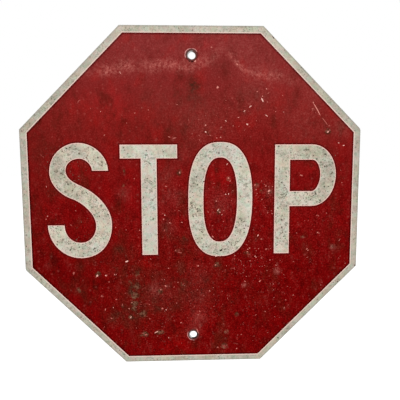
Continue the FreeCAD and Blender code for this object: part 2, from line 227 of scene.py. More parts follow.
# Dark specks of dirt and bare spots: x, z, length, width, turn, darkness
SPECKS = (
    (-135, -66, 3.6, 1.6, 75, 0.9), (-133, -69.5, 2.2, 1.4, 40, 0.7), (-163, 71, 2.6, 1.6, 0, 0.7),
    (-151, 67, 1.6, 1.1, 0, 0.5), (-172, 40, 1.8, 1.2, 20, 0.5), (-54, 0, 2.4, 2, 30, 1),
    (-52.5, 2, 1.6, 1.2, 0, 0.7), (-39, 65, 2, 1.2, 20, 0.5), (-64, -33, 2, 1.2, 60, 0.5),
    (-49, -48, 2.2, 1.1, 70, 0.5), (5.5, 31, 2.6, 2, 30, 0.9), (2, 28, 1.8, 1.2, 0, 0.6),
    (15, 24.5, 2.8, 1.8, 60, 1), (12, 27, 1.6, 1.1, 0, 0.7), (66, 44, 2, 1.5, 0, 0.6),
    (12.5, -44.5, 3.2, 2, -30, 0.9), (9, -42, 1.8, 1.2, 0, 0.6), (14, -28, 1.8, 1.1, 80, 0.7),
    (70, -31, 2.2, 1.4, 30, 0.7), (62, -59, 2.4, 1.4, 40, 0.8), (38.5, -70.5, 5.4, 2.6, 35, 1),
    (44, -69, 2.2, 1.5, 40, 0.8), (33, -75, 2, 1.4, 0, 0.7), (32, -63, 2, 1.2, 0, 0.6),
    (122, 23, 2.8, 1.8, 50, 0.8), (125, 19, 2, 1.4, 0, 0.8), (128, 14, 2, 1.2, 0, 0.6),
    (128, -55, 2, 1.3, 30, 0.6), (118, 2, 1.6, 1.1, 0, 0.5), (57, 50, 1.8, 1.2, 0, 0.5),
    (-1, -5, 1.8, 1.2, 30, 0.5), (0, 10, 2, 1.2, 60, 0.5), (107.5, 214, 3.4, 1.3, -45, 1),
    (203, -117, 2.6, 1.2, 45, 0.9), (226.5, -94, 2.2, 1.5, 60, 0.8), (-17, 225, 1.8, 1.1, 0, 0.6),
    (-84, -165, 2.2, 1.7, 30, 1), (-46, -184.5, 2.8, 1.7, 0, 1), (-54, -189, 2.4, 1.2, 10, 0.8),
    (-43, -188, 1.6, 1.2, 0, 0.7), (-44, -128, 1.8, 1.5, 0, 1), (-8, -114, 1.8, 1.3, 0, 0.8),
    (-17, -123, 1.5, 1.2, 0, 0.7), (-78, -150, 2, 1.4, 0, 0.7), (-71, -162, 2.4, 1.6, 0, 0.7),
    (32, -93.5, 2.8, 1, 10, 0.8), (38, -91, 1.6, 1.2, 60, 0.7), (51, 20, 2.2, 1.6, 0, 0.8),
    (46, 3, 2, 1.2, 0, 0.7), (36, -19.5, 2.6, 1, 60, 0.8), (96, 21, 2, 1.4, 0, 0.7),
    (103, 2, 2, 1.5, 0, 0.7), (70, -75, 2, 1.5, 0, 0.8), (90, -88, 2.2, 1.6, 0, 0.8),
    (83, -72, 1.8, 1.4, 0, 0.7), (22, 88, 2, 1.2, 0, 0.8), (120, -198, 2.6, 1.8, 0, 0.6),
    (0.5, 182.4, 3.6, 1.8, 0, 1), (-3.4, 183, 2.4, 1.6, -30, 0.9), (-103, 1, 1.6, 1.2, 0, 0.5),
    (-226, -62, 2, 1.2, 80, 0.6), (45, 30, 1.8, 1.2, 0, 0.7), (-150.8, 62.8, 3.4, 2.6, 30, 0.35),
    (-181, 38.3, 1.8, 1.3, 0, 0.6), (-175.8, 36.3, 2.8, 2, 40, 0.4), (-126.4, 50.3, 2, 1.3, 0, 0.5),
    (-115.4, 48.8, 2, 1.2, 60, 0.5), (-143, 10.7, 3, 1.6, -40, 0.5), (-130, 0.3, 2.4, 1.8, -30, 0.8),
    (-171, 11.8, 4, 1.6, -25, 0.35), (-129, -36, 1.5, 1.2, 0, 0.6), (-132, -48.6, 3, 1.5, 40, 0.4),
    (-155, -63.8, 2.2, 1.8, 0, 0.8), (-149.3, -72.6, 1.8, 1.4, 0, 0.7), (-183.6, -44, 2.4, 1.3, 0, 0.4),
    (-184.2, -56, 3.2, 1.8, -50, 0.35), (-92, 70.6, 3, 1.8, 30, 0.5), (-90.4, 67, 2, 1.4, 0, 0.4),
    (-61.8, 66.5, 1.9, 1.4, 0, 0.7), (-60.7, 60.7, 2.4, 1.6, 60, 0.35), (-60.7, 29.5, 1.8, 1.5, 0, 0.6),
    (-56, 25.3, 3.2, 1.2, -60, 0.5), (-67, 3.4, 4, 1.4, 80, 0.35), (-54, -26, 5, 2.2, 70, 0.25),
    (-54.5, -69, 1.8, 1.3, 0, 0.5), (23.6, 64.9, 2, 1.5, 60, 0.6), (64.8, 44.6, 2, 1.3, 0, 0.7),
    (-3.4, 2.9, 1.8, 1.4, 0, 0.7), (-1.4, -8.5, 2.4, 1.2, 80, 0.5), (60.6, -58, 2.2, 1.7, 0, 0.7),
    (49.2, -58.5, 2.4, 1.3, 0, 0.6), (58.5, -50.2, 1.8, 1.4, 0, 0.5), (76.2, -24.2, 1.7, 1.1, 60, 0.8),
    (66.9, -29.4, 2.6, 1.4, 40, 0.6), (126.3, 15.4, 2, 1.6, 0, 0.8), (118.4, 41, 1.8, 1.3, 60, 0.6),
    (114.3, 62.3, 2.2, 1.2, 80, 0.4), (133.5, 63.3, 1.8, 1.4, 0, 0.5), (154.4, 67.5, 4, 2.2, 0, 0.3),
    (164.8, 59.2, 3, 2, 30, 0.35), (183.5, 44.6, 3.4, 2.2, -50, 0.4), (190.8, 35.2, 4.4, 3, 60, 0.3),
    (180.4, 21.7, 2, 1.4, 0, 0.6), (165.8, 4.5, 2.8, 1.8, 40, 0.6), (161.7, -0.7, 2.2, 1.4, 0, 0.5),
    (151.3, -8.5, 1.8, 1.4, 0, 0.9), (120.5, -35, 1.7, 1.2, 0, 0.6), (125.7, -51.8, 2, 1.6, 0, 1),
    (128.9, -36.7, 2.6, 1.2, 70, 0.6), (113.8, -46, 1.6, 1.2, 0, 0.6), (121, -54.4, 1.7, 1.3, 0, 0.6),
)

# Where the letters are lighter, or darker below zero: x, z, reach across, reach up and down, strength
LETTER_LIGHT = (
    (-59, 65, 50, 16, 1), (-58, -30, 16, 50, 0.1), (72, 10, 18, 60, 0.8), (-150, -62, 40, 18, 0.25),
    (-180, 45, 22, 26, -0.3), (2, 10, 18, 60, -0.3), (122, -30, 16, 50, -0.2), (186, 32, 24, 34, -0.9),
)

# Where the letters are cooler, or warmer below zero: x, z, reach across, reach up and down, strength
LETTER_COOL = (
    (-58.6, -35, 16, 40, 1), (-58.6, 35, 16, 25, 0.4), (-150, -66, 40, 16, 0.3), (-2, 0, 14, 50, -0.6),
    (38, 68, 30, 12, 0.6), (-150, 0, 30, 35, -0.5), (-165, 55, 35, 18, -0.2),
)

# Where the letters are clean: x, z, reach across, reach up and down, strength
LETTER_CLEAN = (
    (-58.6, -30, 14, 34, 0.75), (3, 38, 12, 16, 0.8),
)

# Where chips and specks crowd: x, z, reach, share
CROWDS = (
    (85, -92, 26, 0.12), (72, -72, 16, 0.07), (100, 10, 13, 0.05), (-30, -115, 42, 0.13),
    (20, -140, 32, 0.08), (35, -10, 22, 0.07), (70, 110, 26, 0.06), (20, 88, 16, 0.04),
    (90, -165, 45, 0.07), (160, -60, 38, 0.07), (-70, -170, 35, 0.05), (-28, -5, 22, 0.05),
    (168, 116, 9, 0.015), (98, 0, 14, 0.04),
)

# Where specks crowd, on the letters most of all: x, z, reach, share
SPECK_CROWDS = (
    (-172, 45, 16, 0.1), (-125, -30, 16, 0.08), (-165, -62, 14, 0.06), (62, -50, 12, 0.07),
    (5, 12, 13, 0.06), (34, -72, 11, 0.09), (122, 8, 14, 0.08), (180, 38, 18, 0.09), (-60, -35, 14, 0.03),
    (20, 74, 18, 0.03), (-85, -130, 25, 0.06), (30, -92, 22, 0.04),
)

# How finely the films are cut, in millimetres or in cells
FIELD_CELL = 2.1
STROKE_CELL = 2.0
P_STEM_CELL = 2.15
SIDE_CELLS = 93   # from the red field's middle columns to its edge, on either side
RING_CELLS = 8    # from the square round a bolt hole to the worn circle
BAND_CELLS = 10   # across a letter's curved stroke
CURVE_STEPS = 14  # along a curve, from one knot to the next
OVAL_STEPS = 128  # round the O

# The red is worn away round each bolt hole: -1 for the lower hole or 1 for the upper one, how far
# the worn circle's middle is from the hole's middle, and its radius
UPPER_SHIFT = (-0.5, 0.7)
WORN_HOLES = ((-1, (0.0, 0.0), 8.6), (1, UPPER_SHIFT, 8.8))
WINDOW = 18.0     # half the side of the square of cells that gives way to the ring round a hole
WAVER = 0.016     # how much each of the worn circle's waves changes its radius

# Where random marks may lie
FIELD_REACH = 216
FIELD_MARGIN = 2
CLEAR_OF_HOLE = 11

# Flakes: their outline's points and raggedness, the size of the ring under the top, and the
# column of a mark that holds its strength
FLAKE_SIDES = 9
FLAKE_RAGGED = 0.28
FLAKE_RIM = 0.8
STRENGTH = 5

# How the crowds of chips show in the red around them: times their reach, times their share
CROWD_REACH = 1.5
CROWD_STRENGTH = 5


# Shapes


def octagon_reach(height, half):
    """How far an octagon reaches to the side at a height.

    It is `half` beside the upright edges. Past their ends, half * tan(22.5 degrees) from the
    middle, it shrinks by as much as the height grows.
    """
    end = half * math.tan(math.pi / 8)
    return np.minimum(half, half + end - np.abs(height))


def stepped(stops, step):
    """Numbers from the first stop to the last, even between stops and at most `step` apart."""
    rounding = 1e-6
    runs = [np.array(stops[:1])]
    for a, b in zip(stops, stops[1:]):
        count = max(1, math.ceil((b - a) / step - rounding))
        runs.append(np.linspace(a, b, count + 1)[1:])
    return np.concatenate(runs)


def cells_of(index):
    """The four-sided faces of a grid of point numbers, wound so that they look towards -Y."""
    return np.stack([index[:-1, :-1], index[:-1, 1:], index[1:, 1:], index[1:, :-1]], -1).reshape(-1, 4)


def bezier_run(knots):
    """A smooth line through knots, each x, z, heading in degrees, reach back and reach ahead.

    Between two knots it is a cubic Bezier curve. Its inner control points lie along the
    headings, the first knot's reach ahead of it and the second knot's reach behind it.
    """
    knots = np.array(knots, float)
    here = knots[:, :2]
    heading = np.radians(knots[:, 2:3])
    along = np.hstack([np.cos(heading), np.sin(heading)])
    ahead = (here + along * knots[:, 4:5])[:-1, None]
    back = (here - along * knots[:, 3:4])[1:, None]
    start, end = here[:-1, None], here[1:, None]
    t = (np.arange(CURVE_STEPS) / CURVE_STEPS)[None, :, None]
    s = 1 - t
    run = s**3 * start + 3 * s * s * t * ahead + 3 * s * t * t * back + t**3 * end
    return np.vstack([run.reshape(-1, 2), here[-1:]])


def band_between(first, second):
    """A strip between two lines of equally many points, straight across."""
    t = np.linspace(0, 1, BAND_CELLS + 1)[None, :, None]
    points = first[:, None] * (1 - t) + second[:, None] * t
    return points[..., 0], points[..., 1]


def moved_aside(loop, distance):
    """A closed line moved to its right by a distance: each point moves along its corner's bisector."""
    ahead = np.roll(loop, -1, 0) - loop
    side = np.stack([ahead[:, 1], -ahead[:, 0]], -1)
    side /= np.linalg.norm(side, axis=1, keepdims=True)
    before = np.roll(side, 1, 0)
    return loop + distance * (side + before) / (1 + (side * before).sum(1, keepdims=True))


def run_round(points, clockwise=False):
    """A closed line without its repeated points, running clockwise or the other way."""
    points = np.asarray(points, float)
    apart = np.linalg.norm(points - np.roll(points, 1, 0), axis=1) > 1e-6
    points = points[apart]
    x, z = points.T
    area = (x * np.roll(z, -1) - np.roll(x, -1) * z).sum()
    return points[::-1] if (area < 0) != clockwise else points


def edge_strip(loop, outside, inside):
    """A strip along a closed line, from `inside` of it to `outside`, and how far in each point is."""
    lines = [moved_aside(loop, -inside), loop, moved_aside(loop, outside)]
    points = np.stack([np.vstack([line, line[:1]]) for line in lines], 1)
    depth = np.broadcast_to([1.0, 0.0, -1.0], points.shape[:2])
    return points[..., 0], points[..., 1], depth


def rectangle(x_stops, z_stops, step=STROKE_CELL):
    """A flat grid over a rectangle, with a line at each stop."""
    return np.meshgrid(stepped(x_stops, step), stepped(z_stops, step))


def superellipse(centre, reach, power):
    """A closed line round a centre.

    The point at angle a is off the centre by reach * sign(cos a) * |cos a|^(2 / power) across,
    and by the same with the sine up.
    """
    angle = np.linspace(0, 2 * math.pi, OVAL_STEPS + 1)
    wave = np.stack([np.cos(angle), np.sin(angle)], -1)
    return np.array(centre) + np.array(reach) * np.sign(wave) * np.abs(wave) ** (2 / power)


def letter_s():
    """The S: one band between two smooth lines, from the upper terminal to the lower one."""
    first = bezier_run((
        (-113.1, 39.7, 90, 0, 20.5), (-152.2, 77.2, 180, 20, 21.5), (-191.6, 37.8, 270, 22, 17),
        (-162.2, 1.8, -20, 16, 15), (-131.4, -34.0, 270, 14.5, 13.5), (-151.8, -57.6, 180, 11.5, 13),
        (-173.4, -33.4, 90, 14.5, 0),
    ))
    second = bezier_run((
        (-134.9, 39.7, 90, 0, 7.5), (-151.2, 55.8, 180, 8.5, 10), (-169.5, 40.3, 270, 9, 10.5),
        (-150.2, 20, -25, 11, 22.5), (-109.6, -32.2, 270, 22.5, 29.5), (-152.4, -79.4, 180, 24.5, 23.5),
        (-196.2, -33.4, 90, 26, 0),
    ))
    return [band_between(second, first)], [run_round(np.vstack([first, second[::-1]]))]


def letter_t():
    """The T: its bar and its stem, which share the points where they meet."""
    left, right, foot = -69.6, -48.0, -75.9
    bar_left, bar_right, under, top = -97.5, -20.3, 55.7, 74.7
    bar = rectangle((bar_left, left, right, bar_right), (under, top))
    stem = rectangle((left, right), (foot, under))
    corners = (
        (bar_left, top), (bar_left, under), (left, under), (left, foot),
        (right, foot), (right, under), (bar_right, under), (bar_right, top),
    )
    return [bar, stem], [run_round(corners)]


def letter_o():
    """The O: a band between two superellipses, whose lower half leans a little to the left."""
    lean = 0.015
    outer = superellipse((37.8, -0.5), (44.0, 78.4), 2.47)
    inner = superellipse((37.7, -0.6), (22.75, 57.35), 2.43)
    for line in (outer, inner):
        line[:, 0] += lean * np.minimum(line[:, 1], 0)
    return [band_between(inner, outer)], [run_round(outer), run_round(inner, clockwise=True)]


def letter_p():
    """The P: a stem, and a bowl that is a band between two lines of straight runs and quarter curves."""
    left, right, foot = 111.8, 133.1, -75.9
    top, under_top, over_waist, waist = 74.4, 53.2, 10.9, -10.1
    outer = bezier_run((
        (right, top, 0, 0, 9), (162.9, top, 0, 9, 19), (196.5, 32.4, 270, 24, 23.5),
        (162.9, waist, 180, 19, 9), (right, waist, 180, 9, 0),
    ))
    inner = bezier_run((
        (right, under_top, 0, 0, 9), (163.4, under_top, 0, 9, 6.5), (174.5, 32.6, 270, 11, 10.5),
        (163.2, over_waist, 180, 5.5, 9), (right, over_waist, 180, 9, 0),
    ))
    stem = rectangle((left, right), (foot, waist, over_waist, under_top, top), P_STEM_CELL)
    around = run_round(np.vstack([outer, [(right, foot), (left, foot), (left, top)]]))
    return [stem, band_between(outer, inner)], [around, run_round(inner, clockwise=True)]


LETTERS = {"legend_s": letter_s, "legend_t": letter_t, "legend_o": letter_o, "legend_p": letter_p}


def flake_outlines(marks, rng):
    """The ragged outlines of flat flakes, at full size and at the size of the ring under the top.

    A row of marks holds x, z, length, width, turn, strength and bow. At angle a the outline is
    at 1 + three waves of random size and phase, of 2, 3 and 5 turns, times half the length along
    the mark and half the width across it. The waves are smaller on a slender mark. A bow lifts
    the middle against the ends as a parabola.
    """
    length, width, turn, bow = (marks[:, column:column + 1] for column in (2, 3, 4, 6))
    turn = np.radians(turn)
    angle = np.linspace(0, 2 * math.pi, FLAKE_SIDES, endpoint=False)[None]
    size = rng.uniform(0, FLAKE_RAGGED, (3, len(marks), 1)) * np.array([1.0, 0.8, 0.5])[:, None, None]
    phase = rng.uniform(0, 2 * math.pi, (3, len(marks), 1))
    turns = np.array([2, 3, 5])[:, None, None]
    slender = np.clip(4 * width / length, 0.1, 1)
    ragged = 1 + slender * (size * np.cos(turns * angle + phase)).sum(0)
    rings = []
    for share in (1.0, FLAKE_RIM):
        out = np.cos(angle) * ragged * share
        along = out * length / 2
        across = np.sin(angle) * ragged * share * width / 2 - bow * out**2
        x = marks[:, 0:1] + along * np.cos(turn) - across * np.sin(turn)
        z = marks[:, 1:2] + along * np.sin(turn) + across * np.cos(turn)
        rings.append(np.stack([x, z], -1))
    return rings


# Marks over the whole face


def crease_reflection(x, z):
    """A painted reflection along the bend of the top, in millimetres: a bell across the band's line, and a
    faint one that fades above it.
    """
    bell_up, faint_up, faint_reach, faint_strength = 1, 22, 20, 0.12
    along, middle, reach, strength = np.array(BAND, float).T
    above = z - np.interp(x, along, middle)
    bell = np.exp(-((above - bell_up) / np.interp(x, along, reach)) ** 2)
    faint = np.exp(-((above - faint_up) / faint_reach) ** 2)
    return bell * np.interp(x, along, strength) + faint * faint_strength


def soft_sum(x, z, rows):
    """The sum of bells exp(-(distance / reach)^2), each times its strength.

    A row holds x, z, a reach for both ways or one across and one up and down, and a strength.
    """
    rows = np.array(rows, float)
    across = (x[..., None] - rows[:, 0]) / rows[:, 2]
    up = (z[..., None] - rows[:, 1]) / rows[:, -2]
    return (rows[:, -1] * np.exp(-across**2 - up**2)).sum(-1)


def face_marks(x, z):
    """The soft marks at points of the face, in millimetres."""
    crowds = [(*place, reach * CROWD_REACH, share * CROWD_STRENGTH) for *place, reach, share in CROWDS]
    tables = {
        "pale": PALE_PATCHES, "spot": PALE_SPOTS, "stain": STAINS, "deep": DEEP, "fresh": FRESH,
        "crust": CRUSTS, "crowd": crowds, "light": LETTER_LIGHT, "cool": LETTER_COOL, "clean": LETTER_CLEAN,
    }
    return {"bloom": crease_reflection(x, z)} | {name: soft_sum(x, z, rows) for name, rows in tables.items()}


# Meshes


def new_piece(name, points, faces, material, marks):
    """A mesh object from arrays, riding on the sign, with one point attribute per mark."""
    mesh = bpy.data.meshes.new(name)
    mesh.from_pydata(points.tolist(), [], [face.tolist() for face in faces])
    for key, values in marks.items():
        layer = mesh.attributes.new(key, "FLOAT", "POINT")
        layer.data.foreach_set("value", values.astype(np.float32).ravel())
    mesh.materials.append(material)
    mesh.update()
    piece = bpy.data.objects.new(name, mesh)
    bpy.context.scene.collection.objects.link(piece)
    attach(piece, "root")
    return piece


def close_film(piece, lift):
    """Welds shared points and gives a film a back and sides that end inside the plate."""
    weld_distance, lifts_thick = 1e-6, 5
    shell = bmesh.new()
    shell.from_mesh(piece.data)
    bmesh.ops.remove_doubles(shell, verts=shell.verts, dist=weld_distance)
    shell.to_mesh(piece.data)
    shell.free()
    wall = piece.modifiers.new("film", "SOLIDIFY")
    wall.thickness = lifts_thick * lift
    wall.offset = -1
    wall.use_rim = True


def letter_piece(name, shape, sizes, material):
    """A letter: a flat film over its grids, and over its edges narrow strips that carry their looks."""
    grids, outlines = shape()
    layers = [(x, z, np.ones(x.shape), sizes.legend_lift) for x, z in grids]
    outside, inside = sizes.edge_outside / MM, sizes.edge_inside / MM
    layers += [(*edge_strip(loop, outside, inside), sizes.edge_lift) for loop in outlines]
    points, faces, depths, first = [], [], [], 0
    for x, z, depth, lift in layers:
        index = np.arange(x.size).reshape(x.shape) + first
        points.append(np.stack([x * MM, np.full(x.shape, FACE_Y - lift), z * MM], -1).reshape(-1, 3))
        faces.append(cells_of(index))
        depths.append(depth.ravel())
        first += x.size
    points = np.vstack(points)
    marks = face_marks(points[:, 0] / MM, points[:, 2] / MM)
    marks["depth"] = np.concatenate(depths)
    piece = new_piece(name, points, np.vstack(faces), material, marks)
    close_film(piece, sizes.legend_lift)


def worn_ring(loop, centre, middle, radius, rng):
    """For each point of a loop, the point of a worn circle in the same direction from the hole.

    The circle's middle is off the hole's centre. Its radius wavers by a few per cent.
    """
    away = loop - centre
    angle = np.arctan2(away[:, 1], away[:, 0])
    phase = rng.uniform(0, 2 * math.pi, 4)
    waver = sum(WAVER * np.cos(turns * angle + p) for turns, p in zip((2, 3, 5, 8), phase))
    reach = radius * (1 + waver)
    return middle + np.stack([np.cos(angle), np.sin(angle)], -1) * reach[:, None]


def field_grid(sizes):
    """The red octagon as a grid in millimetres, and its first and last middle column.

    Rows run across at even heights and stop at the octagon's sides. The middle columns stand
    upright, and the others share what is left of each row.
    """
    right, up = sizes.print_right / MM, sizes.print_up / MM
    half = (HALF - sizes.border) / MM
    end = half * math.tan(math.pi / 8)
    hole = HOLE_Z / MM
    rows = stepped((
        -half + up, -hole - WINDOW, -hole + WINDOW, -end + up,
        end + up, hole - WINDOW, hole + WINDOW, half + up,
    ), FIELD_CELL)
    reach = octagon_reach(rows - up, half)[:, None]
    rows = up + (rows - up) * sizes.print_tall
    middle = stepped((-WINDOW, WINDOW), FIELD_CELL)
    share = np.linspace(0, 1, SIDE_CELLS + 1)[1:]
    left_x = -WINDOW + (right - reach + WINDOW) * share[None, ::-1]
    right_x = WINDOW + (right + reach - WINDOW) * share[None]
    x = np.hstack([left_x, np.broadcast_to(middle, (len(rows), len(middle))), right_x])
    z = np.broadcast_to(rows[:, None], x.shape)
    return x, z, SIDE_CELLS, SIDE_CELLS + len(middle) - 1


def ring_cells(outline, first):
    """The cells of the rings inside a closed outline, whose own points are numbered from `first`."""
    numbers = np.arange(RING_CELLS * len(outline)).reshape(RING_CELLS, -1) + first
    numbers = np.vstack([outline[None], numbers])
    return cells_of(np.hstack([numbers, numbers[:, :1]]))


def red_field_mesh(sizes, rng):
    """The red octagon in millimetres, as points and faces, open round both bolt holes.

    A square of cells round each hole gives way to rings of cells between the square's outline
    and the worn circle.
    """
    x, z, left, right = field_grid(sizes)
    index = np.arange(x.size).reshape(x.shape)
    keep = np.ones((x.shape[0] - 1, x.shape[1] - 1), bool)
    points = [np.stack([x, z], -1).reshape(-1, 2)]
    faces, count = [], x.size
    for side, offset, radius in WORN_HOLES:
        centre = np.array([0.0, side * HOLE_Z / MM])
        low, high = (int(np.argmin(np.abs(z[:, 0] - centre[1] - end))) for end in (-WINDOW, WINDOW))
        keep[low:high, left:right] = False
        loop = np.concatenate([
            index[low, left:right], index[low:high, right],
            index[high, right:left:-1], index[high:low:-1, left],
        ])
        outline = points[0][loop]
        circle = worn_ring(outline, centre, centre + np.array(offset), radius, rng)
        t = np.linspace(0, 1, RING_CELLS + 1)[1:, None, None]
        faces.append(ring_cells(loop, count))
        points.append((outline[None] * (1 - t) + circle[None] * t).reshape(-1, 2))
        count += RING_CELLS * len(loop)
    faces.append(cells_of(index)[keep.ravel()])
    return np.vstack(points), np.vstack(faces)


def flake_faces(count, sides):
    """The faces of flakes whose points run on: a ring, a smaller ring, a top and a bottom point."""
    per_flake = 2 * sides + 2
    first = (np.arange(count) * per_flake)[:, None]
    here = first + np.arange(sides)
    ahead = first + (np.arange(sides) + 1) % sides
    tops = np.broadcast_to(first + 2 * sides, here.shape)
    walls = np.stack([here, ahead, ahead + sides, here + sides], -1)
    lids = np.stack([here + sides, ahead + sides, tops], -1)
    floors = np.stack([ahead, here, tops + 1], -1)
    return [*walls.reshape(-1, 4), *lids.reshape(-1, 3), *floors.reshape(-1, 3)]


def flake_piece(name, marks, rng, lift, material):
    """One piece of many flakes, each a closed shell.

    A flake is a ring just over the plate, a smaller ring just under its top, a top point, and a
    bottom point inside the plate. Their heights are shares of the lift.
    """
    foot_share, rim_share, bottom_share = 0.2, 0.94, 0.4
    rings = flake_outlines(marks, rng)
    count, sides = rings[0].shape[:2]
    height = lift * rng.uniform(0.9, 1.0, count)[:, None]

    def lifted(flat, y):
        return np.dstack([flat[..., 0] * MM, np.broadcast_to(y, flat.shape[:2]), flat[..., 1] * MM])

    centres = marks[:, None, :2]
    foot = lifted(rings[0], FACE_Y - foot_share * lift)
    rim = lifted(rings[1], FACE_Y - rim_share * height)
    top = lifted(centres, FACE_Y - height)
    bottom = lifted(centres, FACE_Y + bottom_share * lift)
    points = np.concatenate([foot, rim, top, bottom], 1)
    painted = {"strength": np.repeat(marks[:, STRENGTH], points.shape[1])}
    new_piece(name, points.reshape(-1, 3), flake_faces(count, sides), material, painted)


def scattered(rng, count, small, large, strength, crowds):
    """Rows of random marks over the red and the letters, crowded where the sign is most battered.

    Most are near the small size. Their length is 1 to 1.8 times it and their width 0.7 to 1.
    """
    share = np.array([crowd[3] for crowd in crowds])
    pick = rng.choice(len(crowds) + 1, count, p=np.append(share, 1 - share.sum()))
    crowd = np.array([crowd[:3] for crowd in crowds] + [(0, 0, 0)])[pick]
    loose = rng.uniform(-FIELD_REACH, FIELD_REACH, (count, 2))
    crowded = crowd[:, :2] + rng.normal(0, 1, (count, 2)) * crowd[:, 2:]
    place = np.where((pick == len(crowds))[:, None], loose, crowded)
    size = small + (large - small) * rng.beta(1.0, 4.0, count)
    rows = np.column_stack([
        place, size * rng.uniform(1.0, 1.8, count), size * rng.uniform(0.7, 1.0, count),
        rng.uniform(0, 180, count), rng.uniform(*strength, count), np.zeros(count),
    ])
    x, z = rows[:, 0], rows[:, 1]
    beside = np.abs(x) < octagon_reach(z, FIELD_REACH) - FIELD_MARGIN
    below = np.abs(z) < FIELD_REACH - FIELD_MARGIN / 2
    clear = np.hypot(x, np.abs(z) - HOLE_Z / MM) > CLEAR_OF_HOLE
    return rows[beside & below & clear]


def in_box(x, z, left, right, low, high):
    return (x > left) & (x < right) & (z > low) & (z < high)


def in_oval(x, z, reach_x, reach_z):
    """Whether a point is inside a superellipse of power 2.4 round the zero point."""
    return np.abs(x / reach_x) ** 2.4 + np.abs(z / reach_z) ** 2.4 < 1


def on_letter(rows):
    """Which marks lie on a letter, by the letters' simplest outlines."""
    x, z = rows[:, 0], rows[:, 1]
    s_box = in_box(x, z, -198, -108, -80, 80)
    t_bar = in_box(x, z, -98.9, -18.9, 54.5, 75.5)
    t_stem = in_box(x, z, -70.6, -46.6, -77, 75)
    o_ring = in_oval(x - 37.9, z + 0.8, 45.5, 80) & ~in_oval(x - 37.7, z + 0.6, 22, 56)
    p_stem = in_box(x, z, 110.6, 134.6, -77, 75)
    p_bowl = in_box(x, z, 122, 198, -11.3, 75.7) & ~in_box(x, z, 133, 175, 12.2, 52.2)
    return s_box | t_bar | t_stem | o_ring | p_stem | p_bowl


# Finishes

# Noises: size of a feature in metres, seed, detail, roughness
NOISES = {
    "red cloud": (0.026, 1.3, 5.0, 0.62),
    "red mottle": (0.007, 4.1, 4.0, 0.65),
    "red grain": (0.0019, 5.2, 2.0, 0.6),
    "red relief": (0.0016, 8.8, 2.0, 0.5),
    "dust": (0.0032, 7.7, 4.0, 0.7),
    "uneven bloom": (0.014, 7.3, 3.0, 0.6),
    "stain edge": (0.008, 2.9, 5.0, 0.7),
    "crust ground": (0.006, 5.5, 4.0, 0.7),
    "crust flakes": (0.0034, 5.9, 4.0, 0.75),
    "crust mottle": (0.0026, 7.1, 3.0, 0.7),
    "dot clusters": (0.013, 6.6, 4.0, 0.65),
    "white cloud": (0.014, 11.0, 4.0, 0.6),
    "white patches": (0.016, 16.0, 3.0, 0.5),
    "white tint": (0.006, 18.0, 3.0, 0.6),
    "wide tint": (0.016, 19.0, 3.0, 0.6),
    "blotches": (0.005, 17.0, 5.0, 0.75),
    "speckle": (0.0022, 12.0, 4.0, 0.7),
    "pink flecks": (0.0032, 13.0, 4.0, 0.65),
    "legend edge": (0.005, 15.0, 5.0, 0.7),
    "ragged edge": (0.006, 21.0, 4.0, 0.6),
    "ragged ring": (0.003, 22.0, 3.0, 0.5),
    "metal grain": (0.0009, 31.0, 3.0, 0.6),
    "metal cloud": (0.05, 32.0, 5.0, 0.6),
    "post edge": (0.01, 34.0, 3.0, 0.5),
    "chips": (0.0014, 41.0, 3.0, 0.5),
    "specks": (0.0012, 42.0, 3.0, 0.5),
}

# How a noise is stretched: less than 1 makes its features longer along X, Y or Z
RAN_DOWN = (1.0, 1.0, 0.6)
WEATHERED_DOWN = (1.0, 1.0, 0.45)
BRUSHED_ACROSS = (0.04, 1.0, 1.0)

# Dots: cell in metres, radius in cells, share of the cells with a dot, seed, raggedness, softness
DOTS = {
    "soft dots": (0.0085, 0.24, 0.45, 3.1, 0.16, 0.14),
    "scuffs": (0.0044, 0.22, 0.36, 6.3, 0.16, 0.08),
    "dusting": (0.0034, 0.24, 0.3, 4.7, 0.16, 0.12),
    "pits": (0.0048, 0.26, 0.45, 9.9, 0.2, 0.1),
    "flecks": (0.0058, 0.27, 0.3, 14.0, 0.2, 0.1),
    "oxide": (0.012, 0.3, 0.3, 33.0, 0.2, 0.2),
}

# Tints: what each multiplies red, green and blue by
TINTS = {
    "bright cloud": (1.16, 0.8, 0.8),
    "fresh": (1.38, 0.95, 1.0),
    "deep": (0.82, 0.42, 0.5),
    "dark mottle": (0.6, 0.6, 0.5),
    "light grain": (1.55, 3.0, 3.0),
    "dark grain": (0.58, 0.2, 0.2),
    "thick ink": (0.5, 0.4, 0.4),
    "greenish": (0.87, 1.0, 0.95),
    "pinkish": (1.04, 0.93, 0.94),
    "yellowish": (1.0, 1.0, 0.94),
    "bluish": (0.985, 1.0, 1.04),
    "cooler": (0.935, 0.965, 1.03),
    "warmer": (1.035, 0.985, 0.97),
    "lighter": (1.06, 1.11, 1.13),
    "darker": (0.9, 0.9, 0.88),
    "brushed": (0.82, 0.82, 0.82),
}

# Ranges: where a change begins and where it is complete, in metres
RANGES = {
    # Of the height above the sign's middle
    "bottom to top": (-0.22, 0.22),
    "top to browned": (0.2, 0.12),
    "top to battered": (0.13, -0.03),
    # Painted shade on the border, lifting towards the top
    "shaded to lit": (0.15, 0.215),
    "lower to upper hole": (-0.1, 0.1),
    # Of the distance inside the red field's edge
    "print to thick ink": (0.0031, 0.0013),
    "border to bled ink": (-0.0016, -0.0008),
    # Of the distance inside the sheet's edge
    "border to worn edge": (0.0028, 0.0006),
    # Of the distance from a bolt hole's middle
    "red to brown": (0.008, 0.0074),
    "brown to pink": (0.0076, 0.0081),
    "torn to sheeting": (0.012, 0.014),
    # Of the distance along one of the ways across a bolt hole
    "into the upper arc": (0.0005, 0.002),
    "into the lower arc": (0.003, 0.005),
    # These two lay painted shade with dirt on the bare rims and in the lower bore
    "clean to caked": (0.003, 0.0012),
    "brown to black": (0.0, 0.002),
    # Of the distance from the back's middle line
    "back to post": (0.0275, 0.0255),
}

